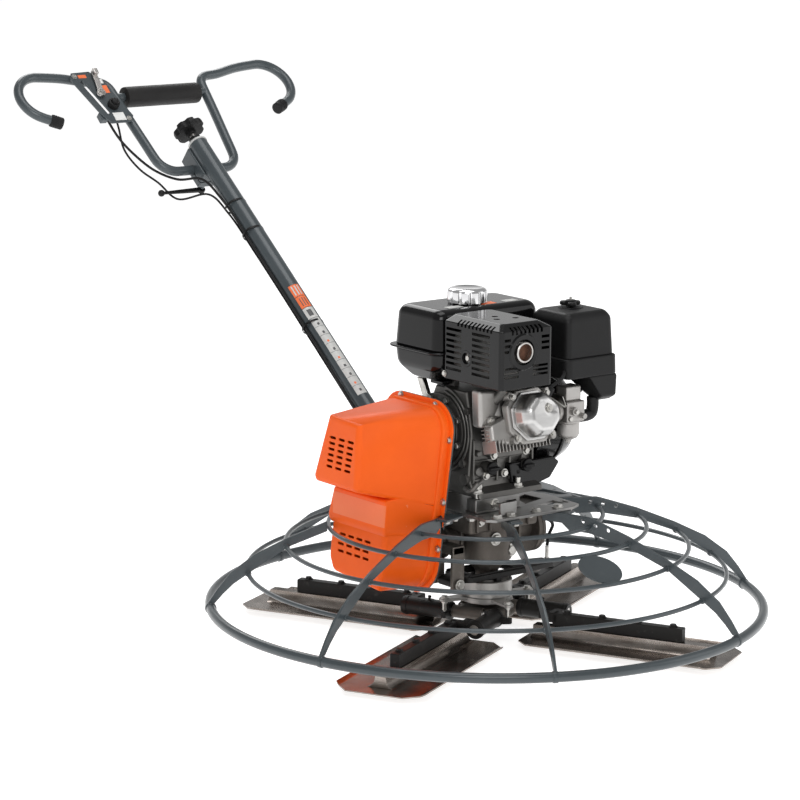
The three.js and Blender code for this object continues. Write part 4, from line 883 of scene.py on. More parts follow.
def crankcase():
    """The block with its ribs, its bearing boss round the crankshaft and the bosses on its front."""
    outline = [(-100, 317.5), (-100, 329), (-72, 337), (-62, 360), (-70, 452), (-52, 540), (52, 540),
               (66, 512), (112, 482), (128, 440), (124, 336), (134, 329), (134, 317.5)]
    parts = [prism("x", outline, (-104, 70), bevel=5, steps=3)]
    for radius, x, edge, sides in ((76, (-110, -100), 3, 72), (62, (-114, -108), 2, 72),
                                   (34, (-126, -110), 2, 48)):
        parts.append(rod("x", radius, x, CRANK, edge, sides))
    parts += [box((x - 2.5, x + 2.5), (-74, -58), (345, 440), 1.5) for x in (-98, -34, 0, 34, 62)]
    parts += [box((-100, 66), (-70, -58), (z - 2, z + 2), 1.2) for z in (352, 392)]
    parts.append(prism("y", rounded((-64, 44), (396, 440), 12), (-84, -62), bevel=3))
    parts += [box((x - 3, x + 3), (100, 128), (345, 438), 1.5) for x in (-90, -40, 10, 55)]
    parts += [tube([(-107, *at) for at in arc(*CRANK, r, 100, 244, 8)], 2.6, 10) for r in (84, 94)]
    right = ((13, (-52, 352)), (9, (-44, 386)), (11, (96, 352)), (8, (-56, 500)))
    parts += [rod("x", r, (-110, -96), at, 2, 32) for r, at in right]
    front = ((10, (-88, 372)), (7, (-88, 410)), (9, (52, 410)))
    parts += [rod("y", r, (-80, -60), at, 2, 32) for r, at in front]
    parts.append(tube([(-112, -60, 336), (-116, -78, 334), (-118, -92, 338), (-112, -100, 350),
                       (-96, -96, 356)], 5, 14))
    parts += [rod("x", 8, (-112, -100), at, 1, 20) for at in CRANK_BOSSES]
    parts += [box((x, x + 14), (14, 50), (538, 551.5), 1) for x in (-84, 52)]
    parts.append(box((20, 34), (96, 146), (470, 484), 1.5))
    parts.append(rod("y", 13, (-90, -60), (-62, 378), 2, 32))
    parts.append(rod("y", 13, (-86, -60), (38, 372), 2, 32))
    parts.append(rod("y", 9, (-76, -60), (-90, 340), 1.5, 24))
    return parts


def crankcase_bolts():
    parts = [hex_bolt(12, 6, "-x", (-112, *at), washer=False) for at in CRANK_BOSSES]
    parts += [hex_bolt(12, 6, "-y", (x, -84, z)) for x in (-54, 34) for z in (404, 432)]
    parts += [hex_bolt(14, 7, "-y", (-90, -76, 340))]
    parts += [hex_bolt(12, 6, "-y", (x, -74, 360)) for x in (-66, -16, 18, 48)]
    return parts


def dipsticks():
    parts = []
    for x, z in ((-62, 378), (38, 372)):
        y = -88 if x < 0 else -84
        parts.append(rod("y", 14, (y - 6, y + 2), (x, z), 2, 32))
        parts.append(box((x - 13, x + 13), (y - 13, y - 5), (z - 3.5, z + 3.5), 2))
    return parts


def cylinder_fins():
    """The cooling fins, each with rounded corners, round the cylinder."""
    parts = [box((-44, 44), (100, 186), (-40, 44), 3)]
    for i in range(9):
        y = 108 + i * 7.4
        parts.append(prism("y", rounded((-58, 58), (-52, 54), 12), (y, y + 2.2), bevel=0.8))
    return on(cylinder_frame(), parts)


def head_casting():
    """The bright head, with the exhaust port on its left and the fins that hang from it."""
    seat = [(u, y, v) for y in (176, 196) for u, v in rounded((-61, 61), (-57, 58), 30, 1)]
    wing = [(40, 150, -56), (40, 188, -56), (96, 146, -46), (96, 176, -44), (96, 150, -6), (92, 172, -8),
            (40, 186, 10), (40, 150, 10)]
    port = [(30, 120, 4), (30, 176, 0), (86, 122, 14), (86, 152, 10), (90, 124, 66),
            (88, 150, 64), (34, 120, 76), (32, 172, 66)]
    parts = [hull(seat, 4, 4), hull(wing, 7, 4), hull(port, 9, 4)]
    parts += [box((x - 1.3, x + 1.3), (140, 184), (-66, -40), 0.7) for x in range(-50, 96, 9)]
    parts += [box((84, 100), (148, 166), (z - 1.3, z + 1.3), 0.7) for z in range(-40, 0, 8)]
    parts += [rod("y", 8, (168, 199), (x, z), 1.2, 24) for x in (-50, 50) for z in (-46, 47)]
    outline = [(-126, 556), (-74, 552), (-66, 500), (-84, 476), (-122, 474)]
    outlet = [(x, y, z) for x, z in outline for y in (-122, -92)]
    boss = rod("y", 10, (-127, -119), (-97, 490), 2, 32, bore=6)
    return [*on(cylinder_frame(), parts), hull(outlet, 8, 5), boss]


COVER_SEAT = 196.3
COVER_AXIS = translation(-15, COVER_SEAT, 12) @ rotation(-90, "X")


def valve_cover():
    """The stamped rocker cover: a flat rim, an eight-sided dome and a dished middle for its bolt."""
    def step(inset, height, corner):
        u, v = (-54 + inset, 54 - inset), (-50 + inset, 52 - inset)
        return [(a, COVER_SEAT + height, b) for a, b in rounded(u, v, corner, 1)]

    rim = hull(step(0, 0, 31) + step(0, 5, 31), 1.8, 4)
    dome = hull(step(4, 3, 30) + step(6, 34, 30) + step(18, 49, 22), 7, 7, 15)
    dish = lathe([(0, 43), (9, 43), (20, 49.2), (20, 56), (0, 56)], 64)
    return on(cylinder_frame(), [rim, boolean(dome, "DIFFERENCE", moved(dish, COVER_AXIS))])


def valve_cover_bolts():
    parts = [moved(rod("z", 8.5, (42.5, 45), (0, 0), 0.8, 40), COVER_AXIS)]
    parts.append(moved(hex_bolt(11, 6, "z", (0, 0, 45)), COVER_AXIS))
    parts += [hex_bolt(10, 5, "y", (x, COVER_SEAT + 5, v)) for x in (-46, 46) for v in (-42, 44)]
    return [*on(cylinder_frame(), parts), hex_bolt(11, 6, "-y", (-97, -127, 490))]


piece("crankcase_casting", crankcase(), "frame", "cast_dark", ["crankcase"])
piece("crankcase_bolts", crankcase_bolts(), "frame", "zinc")
piece("oil_fillers", dipsticks(), "frame", "black_plastic")
piece("cylinder_head_fins", cylinder_fins(), "frame", "cast_dark", ["cylinder_head"])
piece("cylinder_head_casting", head_casting(), "frame", "cast")
piece("valve_cover_cast", valve_cover(), "frame", "bright", ["valve_cover"])
piece("valve_cover_bolts", valve_cover_bolts(), "frame", "zinc")
piece("crankshaft_turned", [rod("x", 12.7, (-216, 134), CRANK, 1, 32)], "crank", "steel", ["crankshaft"])

SHIELD_X, SHIELD_Y, SHIELD_Z, SHIELD_CROWN = (-134, 5), (-200, -10), (568, 690), 703
OUTLET = (-74, 644)


def shield_shell(inset):
    x, y, z = SHIELD_X, SHIELD_Y, SHIELD_Z
    side = rounded((x[0] + inset, x[1] - inset), (y[0] + inset, y[1] - inset), 9, 4)
    top = rounded((x[0] + 20, x[1] - 20), (y[0] + 20, y[1] - 8), 12, 4)
    points = [(u, v, z[0] - (6 if inset else 0)) for u, v in side] + [(u, v, z[1] - inset) for u, v in side]
    return hull(points + [(u, v, SHIELD_CROWN - inset) for u, v in top], 0 if inset else 2.5, 4)


def shield_slots():
    """The shield's openings, in groups that don't touch one another."""
    left = [box((-150, -128), y, (588 + i * 12, 594 + i * 12), 0) for i in range(8)
            for y in ((-163, -105), (-70, -20))]
    sides = [box(x, (-220, -190), (645 + i * 12, 651 + i * 12), 0) for i in range(3)
             for x in ((-125, -109), (-26, -5))]
    low = [box(x, (-220, -190), (592 + i * 9, 597 + i * 9), 0) for i in range(3)
           for x in ((-125, -87), (-48, -8))]
    top_front = [box((-106 + i * 11, -100 + i * 11), (-220, -186), (682, 697), 0) for i in range(8)]
    top_left = [box((-150, -121), (-170 + i * 12, -164 + i * 12), (684, 697), 0) for i in range(10)]
    spots = [rod("z", 7, (690, 730), at, 0, 24) for at in ((-84, -124), (-40, -132), (-66, -96))]
    return [left, sides, low, top_front, top_left, spots]


def muffler_shield():
    shell = boolean(shield_shell(0), "DIFFERENCE", shield_shell(2.2))
    for group in shield_slots():
        shell = boolean(shell, "DIFFERENCE", merged(group))
    shell = boolean(shell, "DIFFERENCE", rod("y", 26, (-220, -190), OUTLET, 0, 64),
                    rod("x", 12, (-150, -128), (-86, 620), 0, 40))
    boss = lathe([(24, -4), (27, 2.5), (36, 3), (39.5, 0.5), (40, -1), (37, -1), (26, -3), (24, -4)], 64)
    boss = moved(boss, translation(OUTLET[0], -199.6, OUTLET[1]) @ aim("-y"))
    eye = lathe([(10, -6), (12, 0.6), (17, 0.8), (18, -0.5), (11, -6), (10, -6)], 48)
    eye = moved(eye, translation(-134, -86, 620) @ aim("-x"))
    return [shell, boss, eye]


def muffler():
    can = prism("x", rounded((-176, -26), (580, 672), 26), (-120, -10), bevel=3)
    pipe = tube([(-70, -140, 560), (-72, -128, 545), (-80, -110, 528)], 13, 24)
    return [can, pipe]


def muffler_outlet():
    ring = lathe([(17, -20), (20, -20), (21.6, 8), (20.6, 9), (18, 9), (17, 7), (17, -20)], 64)
    screen = rod("z", 17.5, (-4, 0), (0, 0), 0.3, 40)
    return [moved(m, translation(OUTLET[0], y, OUTLET[1]) @ aim("-y")) for m,
            y in ((ring, -197), (screen, -193))]


piece("muffler_shield_pressed", muffler_shield(), "frame", "black_gloss", ["muffler_shield"])
piece("muffler_can", muffler(), "frame", "cast_dark", ["muffler"])
outlet_ring, outlet_screen = muffler_outlet()
piece("muffler_outlet_ring", [outlet_ring], "frame", "steel")
piece("muffler_outlet_screen", [outlet_screen], "frame", "rust")
piece("muffler_screws", [hex_bolt(11, 5, "-x", (-126, -86, 620)),
                         hex_bolt(9, 4, "-x", (-134, -16, 578))], "frame", "zinc")


def fuel_tank():
    lower = level(552, (-122, 122), (26, 120), 26, 5)
    lower += level(580, (-142, 138), (-4, 150), 26, 5)
    lower += level(618, (-145, 141), (-8, 154), 26, 5)
    upper = level(616, (-145, 141), (-8, 154), 26, 5)
    upper += level(694, (-140, 136), (-3, 149), 24, 5)
    upper += level(706, (-128, 124), (9, 137), 18, 5)
    lip = prism("z", rounded((-155, 151), (-12, 165), 30), (615, 619.5), bevel=1.8)
    notch = rod("x", 118, (70, 170), CRANK, 0.5, 64)
    body = boolean(hull(lower, 9, 6), "DIFFERENCE", notch)
    neck = lathe([(27, 698), (31, 698), (31, 711), (27, 711), (27, 698)], 48, "z", (*CAP_AT, 0))
    return [body, hull(upper, 9, 7), lip, neck]


def fuel_cap():
    cap = lathe([(0, 712), (34, 712), (34, 707.5), (41.5, 707.5), (43, 709), (43, 730), (41.5, 734.5),
                 (37, 738), (31, 739), (27, 737.5), (0, 736.8)], 128, "z", (*CAP_AT, 0))
    flutes = [rod("z", 5.5, (700, 734), (CAP_AT[0] + 46.4 * math.cos(a),
                                         CAP_AT[1] + 46.4 * math.sin(a)), 1.5, 24)
              for a in [i * math.pi / 6 for i in range(12)]]
    return [boolean(cap, "DIFFERENCE", merged(flutes))]


piece("fuel_tank_pressed", fuel_tank(), "frame", "black_gloss", ["fuel_tank"])
piece("fuel_cap_pressed", fuel_cap(), "fuel_cap", "chrome", ["fuel_cap"])
piece("fuel_tank_blank_labels", [box(x, (22, 42), (705.6, 706.4), 0.2)
                                 for x in ((-92, -54), (62, 96))], "frame", "label")
piece("fuel_tank_orange_label", [box((-6, 36), (21, 42), (705.6, 706.4), 0.2)], "frame", "orange_band")


def air_cleaner():
    upper = level(598, (92, 227), (-145, -16), 14)
    upper += level(682, (95, 223), (-141, -20), 14)
    upper += level(696, (105, 214), (-130, -30), 14)
    skirt = level(601, (88, 232), (-150, -12), 16)
    skirt += level(558, (89, 233), (-151, -11), 16)
    chin = [(x, y, 560) for x in (152, 230) for y in (-150, -52)]
    chin += slab((188, 228), [(-150, 512), (-128, 500), (-92, 512)])
    recess = rod("z", 27, (694.5, 697.5), AIR_KNOB, 1, 48)
    seam = prism("z", rounded((90, 229), (-147, -14), 15), (597, 601), bevel=1)
    return [hull(upper, 6, 6), hull(skirt, 4, 5), hull(chin, 5, 4), recess, seam]


def three_lobe_knob():
    x, y = AIR_KNOB
    lobes = [(x + 15 * math.cos(a * DEG), y + 15 * math.sin(a * DEG)) for a in (0, 120, 240)]
    middle = rod("z", 12, (698.5, 712), AIR_KNOB, 2.5, 40)
    return [middle, *[rod("z", 9.5, (700, 709), at, 3, 28) for at in lobes]]


piece("air_cleaner_moulding", air_cleaner(), "frame", "black_plastic", ["air_cleaner_cover"])
piece("air_cleaner_stud", [rod("z", 4, (690, 702), AIR_KNOB, 0.5, 20)], "frame", "zinc")
piece("air_cleaner_wing_knob", three_lobe_knob(), "air_cleaner_knob", "black_plastic", ["air_cleaner_knob"])
piece("air_cleaner_knob_tip", [rod("z", 3, (711, 718), AIR_KNOB, 0.6, 20)], "air_cleaner_knob", "zinc")


def carburettor():
    bowl = lathe([(0, 424), (14, 424), (20, 427), (24, 434), (24, 458), (26, 460), (26, 464), (0, 464)], 48,
                 "z", (126, -113, 0))
    parts = [bowl, box((100, 150), (-140, -90), (463, 508), 4), rod("z", 6, (414, 426), (126, -113), 1, 6)]
    parts.append(rod("x", 15, (41.4, 100), (-112, 486), 1.5, 40))
    parts.append(rod("x", 22, (86, 96), (-112, 486), 2, 40))
    parts.append(box((104, 146), (-132, -96), (507, 540), 5))
    parts.append(rod("y", 9, (-150, -138), (116, 488), 1.5, 24))
    parts.append(rod("y", 6, (-152, -138), (140, 476), 1.2, 20))
    return parts


def throttle_linkage():
    parts = [prism("x", [(-140, 500), (-128, 520), (-90, 524), (-88, 514), (-120, 506),
                         (-132, 496)], (96, 98), bevel=0.4)]
    parts.append(tube([(97, -92, 520), (90, -60, 530), (84, -20, 560), (60, 12, 545)], 1.3, 8))
    parts.append(tube([(98, -136, 498), (70, -120, 520), (40, -90, 545), (20, -70, 552)], 1.2, 8))
    parts.append(rod("y", 5, (-156, -150), (116, 488), 0.8, 16))
    parts.append(hex_bolt(10, 5, "-y", (108, -140, 472), washer=False))
    coil = [(30 + 3.4 * math.cos(i * 0.8), -76 + i * 0.55, 549 + 3.4 * math.sin(i * 0.8)) for i in range(60)]
    parts.append(tube(coil, 0.6, 6, per_span=1))
    return parts


piece("carburettor_cast", carburettor(), "frame", "cast", ["carburettor"])
elbow = [(x, -120, z) for x, z in ((150, 470), (172, 470), (184, 474), (188, 486), (188, 508))]
piece("carburettor_elbow", [tube(elbow, 13, 24)], "frame", "black_plastic")
piece("throttle_linkage", throttle_linkage(), "frame", "zinc")
piece("choke_lever_pressed", [prism("x", [(-128, 494), (-118, 490), (-102, 522), (-108, 528), (-120, 506)],
                                    (151, 154), bevel=0.5),
                              rod("x", 5, (150.5, 158), (-121, 498), 0.8, 24)], "choke_lever",
      "zinc", ["choke_lever"])
piece("choke_lever_knob", [rod("x", 5, (153, 167), (-106, 523), 1.5, 24)], "choke_lever", "black_plastic")


def spark_plug():
    """The plug's cap and lead on the front of the head."""
    m = cylinder_frame()
    cap = [moved(rod("z", 9, (0, 30), (0, 0), 3, 24), m @ translation(-50, 186, 30) @ aim((-0.5, 0.35, 0.8)))]
    start = m @ (Vector((-64, 196, 54)) * MM) / MM
    lead = tube([start, start + Vector((26, -6, 18)), start + Vector((60, 40, 30)), (80, -30, 560)], 3.6, 12)
    return [*cap, lead]


piece("spark_plug_cap", spark_plug(), "frame", "rubber")


def engine_brackets():
    """Pressed black brackets between the shield, the head and the tank."""
    parts = [box((-128, -96), (-150, -96), (564, 568), 1.2)]
    parts.append(prism("x", [(-62, 540), (-20, 552), (-20, 566), (-150, 566), (-150, 560),
                             (-70, 556)], (30, 34), bevel=1))
    parts.append(box((20, 72), (-84, -20), (552, 566), 2))
    parts.append(box((-112, -72), (20, 60), (544, 552), 2))
    parts.append(box((60, 76), (-80, -60), (452, 560), 2))
    return parts


def tank_strut():
    """The pressed strut that runs from the crankcase up to the tank's left end."""
    return [hull(slab((-108, -96), [(112, 548), (92, 548), (60, 486), (76, 478)]), 2)]


piece("engine_brackets", engine_brackets(), "frame", "black_gloss")
piece("tank_strut", tank_strut(), "frame", "zinc")

FAN_X, FAN_R = (76, 142), 114
ROPE_X, ROPE_Y, ROPE_ENDS = FAN_X[1] + 26.3, 78, (538, 562)


def fan_housing():
    drum = lathe([(112, 0), (FAN_R - 1, 0), (FAN_R, 2), (FAN_R, 62), (FAN_R + 3, 63), (FAN_R + 3, 66),
                  (109, 66), (108, 4), (20, 4), (20, 0), (112, 0)], 96)
    drum = moved(drum, translation(FAN_X[0], *CRANK) @ aim("x"))
    cowl = [(x, y, z) for x, z in ((-6, 380), (116, 380), (134, 366), (108, 334), (60, 322),
                                   (0, 334)) for y in (-80, -56)]
    duct = prism("x", [(-83, 470), (-62, 538), (0, 555), (40, 552), (40, 480), (-40, 400)], FAN_X, bevel=4)
    return [drum, duct, hull(cowl, 5, 5)]


def recoil_cover():
    x = FAN_X[1] + 0.3
    dome = lathe([(0, 48), (80, 48), (98, 40), (104, 20), (107, 0), (FAN_R - 2, 0), (FAN_R - 1, 2),
                  (FAN_R - 2, 9), (106, 26), (100, 42), (92, 50), (84, 53.5), (60, 54), (58, 51), (40, 51),
                  (38, 54), (0, 54)], 96)
    dome = moved(dome, translation(x, *CRANK) @ aim("x"))
    slots = [moved(box((x + 30, x + 70), (60, 82), (-3.2, 3.2), 0), translation(0, *CRANK)
                   @ rotation(i * 15, "X")) for i in range(24)]
    eye = rod("z", 14, (530, 560), (x + 26, 78), 3, 32, bore=4)
    return [boolean(dome, "DIFFERENCE", merged(slots)), eye]


def recoil_screws():
    return [hex_bolt(11, 5, "x", (FAN_X[1] + 10, CRANK[0] + 104 * math.cos(a), CRANK[1] + 104 * math.sin(a)))
            for a in [math.pi * (i + 0.25) / 3 for i in range(6)]]


def recoil_grip():
    x, y, z = ROPE_X, ROPE_Y, 560.3
    bar = hull([(px, py, h) for c in (-26, 26) for px, py in circle(x, y + c, 9.5, 24)
                for h in (z + 12, z + 26)], 4, 5)
    return [bar, rod("z", 8, (z, z + 14), (x, y), 2, 32)]


piece("fan_housing_pressed", fan_housing(), "frame", "black_gloss", ["fan_housing"])
piece("recoil_cover_pressed", recoil_cover(), "frame", "black_gloss", ["recoil_cover"])
piece("recoil_screws", recoil_screws(), "frame", "zinc")
piece("recoil_grip", recoil_grip(), "recoil_handle", "black_plastic", ["recoil_handle"])

rope = piece("recoil_rope", [rod("z", 1.9, ROPE_ENDS, (ROPE_X, ROPE_Y), 0.3, 16)], None, "white")
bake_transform(rope)

# ---------------------------------------------------------------- belt cover


def flange_outline(inset=0, steps=10):
    points = arc(86, 468, 60 - inset, 0, 90, steps) + arc(-28, 468, 60 - inset, 90, 180, steps)
    return points + arc(44, 188, 88 - inset, 190, 350, steps * 2)


UPPER_FACE = [(4, 489), (108, 493), (165, 346), (12, 344)]
LOWER_FACE = [(-9, 323), (150, 321), (179, 268), (196, 166), (182, 134), (24, 120), (6, 174), (0, 238)]


def shrunk(points, by):
    cu = sum(p[0] for p in points) / len(points)
    cv = sum(p[1] for p in points) / len(points)
    return [(u - math.copysign(by, u - cu), v - math.copysign(by, v - cv)) for u, v in points]


def cover_hulls(inset, edge):
    """The cover's upper block, its middle with a ledge, and its lower block."""
    near = FLANGE_X - (9 if inset > 1 else 6)
    root = flange_outline(12 + inset)
    upper = [(near, u, v) for u, v in root if v > 330]
    upper += [(near, -54 + inset, 300 + inset), (near, 160 - inset, 300 + inset), (near, 150 - inset, 440)]
    upper += [(FLANGE_X - 180 + inset, u, v) for u, v in shrunk(UPPER_FACE, inset)]
    lower = [(near, u, v) for u, v in [*root, (150 - inset, 250), (150 - inset, 180)] if v < 345]
    lower += [(near, -52 + inset, 345), (near, 150 - inset, 345)]
    lower += [(FLANGE_X - 114 + inset, u, v) for u, v in shrunk(LOWER_FACE, inset)]
    middle = [(near, -44 + inset, 241), (near, -54 + inset, 345), (near, 150 - inset, 241),
              (near, 150 - inset, 345)]
    middle += [(FLANGE_X - 119 + inset, u, v) for u,
               v in shrunk([(-5, 255), (192, 255), (170, 322), (-12, 322)], inset)]
    middle += [(FLANGE_X - 113 + inset, u, v) for u, v in shrunk([(1, 241), (188, 241)], inset)]
    return hull(upper, edge, 6, 15), hull(middle, edge * 0.5, 5, 15), hull(lower, edge, 6, 15)


def cover_vents():
    slots = [(19 + column * 31 + row * 2.4, 448 - row * 12.7, (-196, -166))
             for row in range(6) for column in range(3)]
    slots += [(46 + column * 29 + shift, z, (-128, -98)) for z,
              shift in ((221, 0), (199, 7), (183, 7)) for column in range(4)]
    return merged([prism("x", rounded((y, y + 22), (z - 3, z + 3), 2.9, 3),
                         (FLANGE_X + x[0], FLANGE_X + x[1]), bevel=0.01, steps=0) for y, z, x in slots])


def guard_notch():
    """The room that the cover and its back plate leave for the guard's third arm."""
    return turned_z(box((120, 320), (-5, 5), (242, 284), 0), GUARD_ARMS[2])


def belt_cover():
    flange = prism("x", flange_outline(0), (FLANGE_X - 4, FLANGE_X - 0.3), bevel=1)
    riser = prism("x", flange_outline(9), (FLANGE_X - 20, FLANGE_X - 1), bevel=4)
    room = prism("x", flange_outline(14), (FLANGE_X - 12, FLANGE_X + 5), bevel=0.01, steps=0)
    body = boolean(flange, "UNION", riser, *cover_hulls(0, 10))
    return boolean(body, "DIFFERENCE", room, *cover_hulls(3.2, 0), cover_vents(), guard_notch())


def cover_band():
    """The blank paler band across the middle of the cover, a thin skin on the front and the side."""
    field = box((FLANGE_X - 140, FLANGE_X - 72), (-60, 172), (264, 312), 0)
    skin = boolean(cover_hulls(-0.35, 10)[1], "INTERSECT", field)
    return boolean(skin, "DIFFERENCE", cover_hulls(0.9, 9)[1])


def cover_bolts():
    places = [(-76, 450), (-59, 314), (-43, 210), (-30, 516), (86, 520), (138, 470), (128, 250), (44, 106)]
    return [hex_bolt(11, 5, "-x", (FLANGE_X - 4, y, z)) for y, z in places]


def back_plate():
    holes = [circle(*CRANK, 40), circle(*WORM, 20)]
    plate = prism("x", flange_outline(0), (FLANGE_X, FLANGE_X + 3), holes, 0.6)
    return boolean(plate, "DIFFERENCE", guard_notch())


piece("belt_cover_moulding", [belt_cover()], "frame", "orange", ["belt_cover"], 40)
piece("belt_cover_band", [cover_band()], "frame", "orange_band")
piece("belt_cover_bolts", cover_bolts(), "frame", "zinc")
piece("belt_back_plate_cut", [back_plate()], "frame", "slate", ["belt_back_plate"])

# ---------------------------------------------------------------- handlebar and its controls


def horn_end(distance):
    """A point on the straight end of the horn, past its arc."""
    return 348.98 - 0.8829 * distance, 105.73 - 0.4695 * distance


def handle_half():
    points = [(0, -85), (52, -85), *arc(64, -38, 47, -80, -12, 6), (116, 10), (124, 92), (129, 152)]
    points += [*arc(163, 172, 32, 170, 108, 4), (188, 207), (250, 222), *arc(318, 164, 66, 98, -62, 14)]
    return points + [horn_end(14), horn_end(29), horn_end(44)]


def handlebar():
    half = handle_half()
    centre = [(-p, q) for p, q in reversed(half[1:])] + half
    parts = [tube([handle_point(p, q) for p, q in centre], TUBE_R, 28, per_span=6)]
    parts += on(handle_frame(), [rod("x", TUBE_R - 0.5, (-128, 128), (152, 0), 1, 40)])
    return parts


def handle_caps(side):
    cap = [(0, 0), (12, 0), (14.5, 2.5), (14.5, 29), (13.6, 30), (12.3, 30), (12.3, 3.4), (0, 3.4)]
    ribs = [[(13.5, x), (15, x), (15, x + 2), (13.5, x + 2), (13.5, x)] for x in (14, 19, 24)]
    p, q = horn_end(47.8)
    turn = rotation(28 if side > 0 else 152, "Z")
    place = handle_frame() @ translation(side * p, q, 0) @ turn @ aim("x")
    return on(place, [lathe(profile, 40) for profile in (cap, *ribs)])


def grip():
    profile = [(0, -106), (19, -106), (24, -104), (25, -100), (25, -20), (24.8, 0), (25, 20), (25, 100),
               (24, 104), (19, 106), (0, 106)]
    sleeve = moved(lathe(profile, 56), aim("x"))
    return on(handle_frame() @ translation(0, 152, 0), [sleeve])


def control_plate():
    outline = [(-236, 204), (-226, 224), (-176, 226), (-152, 200), (-118, 82), (-130, 64),
               (-186, 64), (-200, 84)]
    slot = [(-214, 196), (-206, 200), (-176, 96), (-184, 92)]
    parts = [prism("z", list(reversed(outline)), (PLATE_LIFT, PLATE_LIFT + 4), [slot], 0.9)]
    parts.append(rod("z", 10, (PLATE_LIFT + 3, PLATE_LIFT + 7), LEVER_PIVOT, 1, 32))
    parts.append(box((-206, -188), (78, 100), (PLATE_LIFT - 14, PLATE_LIFT + 1), 1.5))
    return on(handle_frame(), parts)


def control_details():
    top = PLATE_LIFT + 4
    steel = [hex_bolt(9, 4, "z", (p, q, top)) for p, q in ((-222, 212), (-134, 74))]
    black = [rod("z", 14, (top - 1, PLATE_LIFT + 18), BUTTON, 2, 40, bore=9.6)]
    pale = [box((-172, -142), (70, 94), (top, top + 0.5), 0.2),
            box((-172, -152), (186, 200), (top, top + 0.5), 0.2)]
    orange = [box((-166, -148), (156, 180), (top, top + 0.5), 0.2),
              box((-212, -190), (206, 216), (top, top + 0.5), 0.2)]
    return [on(handle_frame(), group) for group in (steel, black, pale, orange)]


def throttle_lever():
    base = PLATE_LIFT + 7.3
    blade = [(-186, 146), (-170, 144), (-164, 186), (-162, 217), (-174, 221), (-178, 188)]
    parts = [prism("z", blade, (base, base + 4), bevel=0.9),
             rod("z", 11, (base, base + 8), LEVER_PIVOT, 1.2, 40)]
    parts += [box((-174, -162), (206, 222), (base, base + 14), 2),
              hex_bolt(11, 5, "z", (*LEVER_PIVOT, base + 8))]
    return on(handle_frame(), parts)


steel_bits, black_bits, pale_bits, orange_bits = control_details()
piece("handlebar_tube", handlebar(), "handle", "slate", ["handlebar"])
piece("handle_end_cap_left", handle_caps(1), "handle", "rubber", ["handle_cap_left"])
piece("handle_end_cap_right", handle_caps(-1), "handle", "rubber", ["handle_cap_right"])
grip_piece = piece("cross_tube_grip", grip(), "handle", "foam", ["grip_sleeve"])
piece("control_plate_pressed", control_plate(), "handle", "slate", ["control_plate"])
piece("control_plate_bolts", steel_bits, "handle", "zinc")
piece("stop_switch_body", black_bits, "handle", "black_plastic")
piece("control_plate_blank_label", pale_bits, "handle", "white")
piece("throttle_scale", orange_bits, "handle", "orange_band")
piece("throttle_lever_cut", throttle_lever(), "throttle_lever", "steel", ["throttle_lever"])
stop_cap = lathe([(0, 24), (9, 24), (9, 33), (7.6, 36), (4, 36.8), (0, 36.8)], 40, "z", (*BUTTON, 0))
piece("stop_button_cap", on(handle_frame(), [stop_cap]), "stop_button", "black_plastic", ["stop_button"])


def handle_clamp():
    """The saddle between the mast and the cross tube: hollowed for one, bored for the other, and slit."""
    saddle = box((-27, 27), (-42, 46), (-17, 29), 3)
    tools = [rod("y", 22.7, (-100, 100), (0, 37), 0.1, 64), rod("x", 11.9, (-60, 60), (0, 0), 0.1, 40),
             box((-60, 60), (-60, 0), (-1.5, 1.5), 0)]
    return on(clamp_frame(), [boolean(saddle, "DIFFERENCE", *tools),
                              rod("z", 5, (-34, -14), (0, -28), 0.8, 24)])


def clamp_lever():
    ball = bevelled(box((-120, -104), (-36, -20), (-48, -32), 0), 7.6, 8)
    bar = [(-108, y, z) for z in (-42, -38) for y in (-32, -24)] + [(0, y, z)
                                                                    for z in (-44, -36) for y in (-34, -22)]
    bar = hull(bar, 1.5)
    return on(clamp_frame(), [ball, bar, rod("z", 10, (-45, -35), (0, -28), 1.5, 32)])


def star_knob():
    """The seven-pointed knob: a thick disc with hollows cut round its edge, and its stem."""
    disc = rod("z", 38, (-9, 9), (0, 0), 5, 84)
    hollows = [rod("z", 11.5, (-30, 30), (41.5 * math.cos(a), 41.5 * math.sin(a)), 0, 32)
               for a in [(i + 0.5) * 2 * math.pi / 7 for i in range(7)]]
    star = bevelled(boolean(disc, "DIFFERENCE", merged(hollows)), 2.5, 4, 40)
    place = translation(0, MAST_END + 50, 0) @ rotation(-90, "X")
    parts = [moved(star, place), rod("y", 13, (MAST_END + 30, MAST_END + 44), (0, 0), 2, 32)]
    parts += [rod("y", 11, (MAST_END + 57, MAST_END + 60), (0, 0), 1, 32),
              rod("y", 15, (MAST_END + 2, MAST_END + 20), (0, 0), 2, 32)]
    return on(mast_frame(), parts)


piece("handle_clamp_cut", handle_clamp(), "frame", "slate", ["handle_clamp"])
piece("clamp_lever_moulding", clamp_lever(), "clamp_lever", "black_plastic", ["clamp_lever"])
piece("pitch_star_knob", star_knob(), "pitch_knob", "black_plastic", ["pitch_knob"])
piece("pitch_screw", on(mast_frame(), [rod("y", 8, (MAST_END - 40, MAST_END + 43), (0, 0), 1,
                                           32)]), "pitch_knob", "steel")

# ---------------------------------------------------------------- cables

SIDE = -(MAST_R + 3 + 0.8)


def throttle_route():
    points = [handle_point(-188, 112, 7), handle_point(-180, 78, -2), handle_point(-164, 40, -16),
              handle_point(-140, 0, -26), handle_point(-104, -52, -30), handle_point(-66, -96, -16),
              mast_point(960, SIDE - 9, -18), mast_point(880, SIDE - 2, -3)]
    points += [mast_point(s, SIDE, 0) for s in (700, 400)] + [mast_point(170, SIDE - 1, 2)]
    return points + [(-24, 330, 384), (-4, 262, 398), (16, 212, 440), (27, 178, 470), (27, 147, 477)]


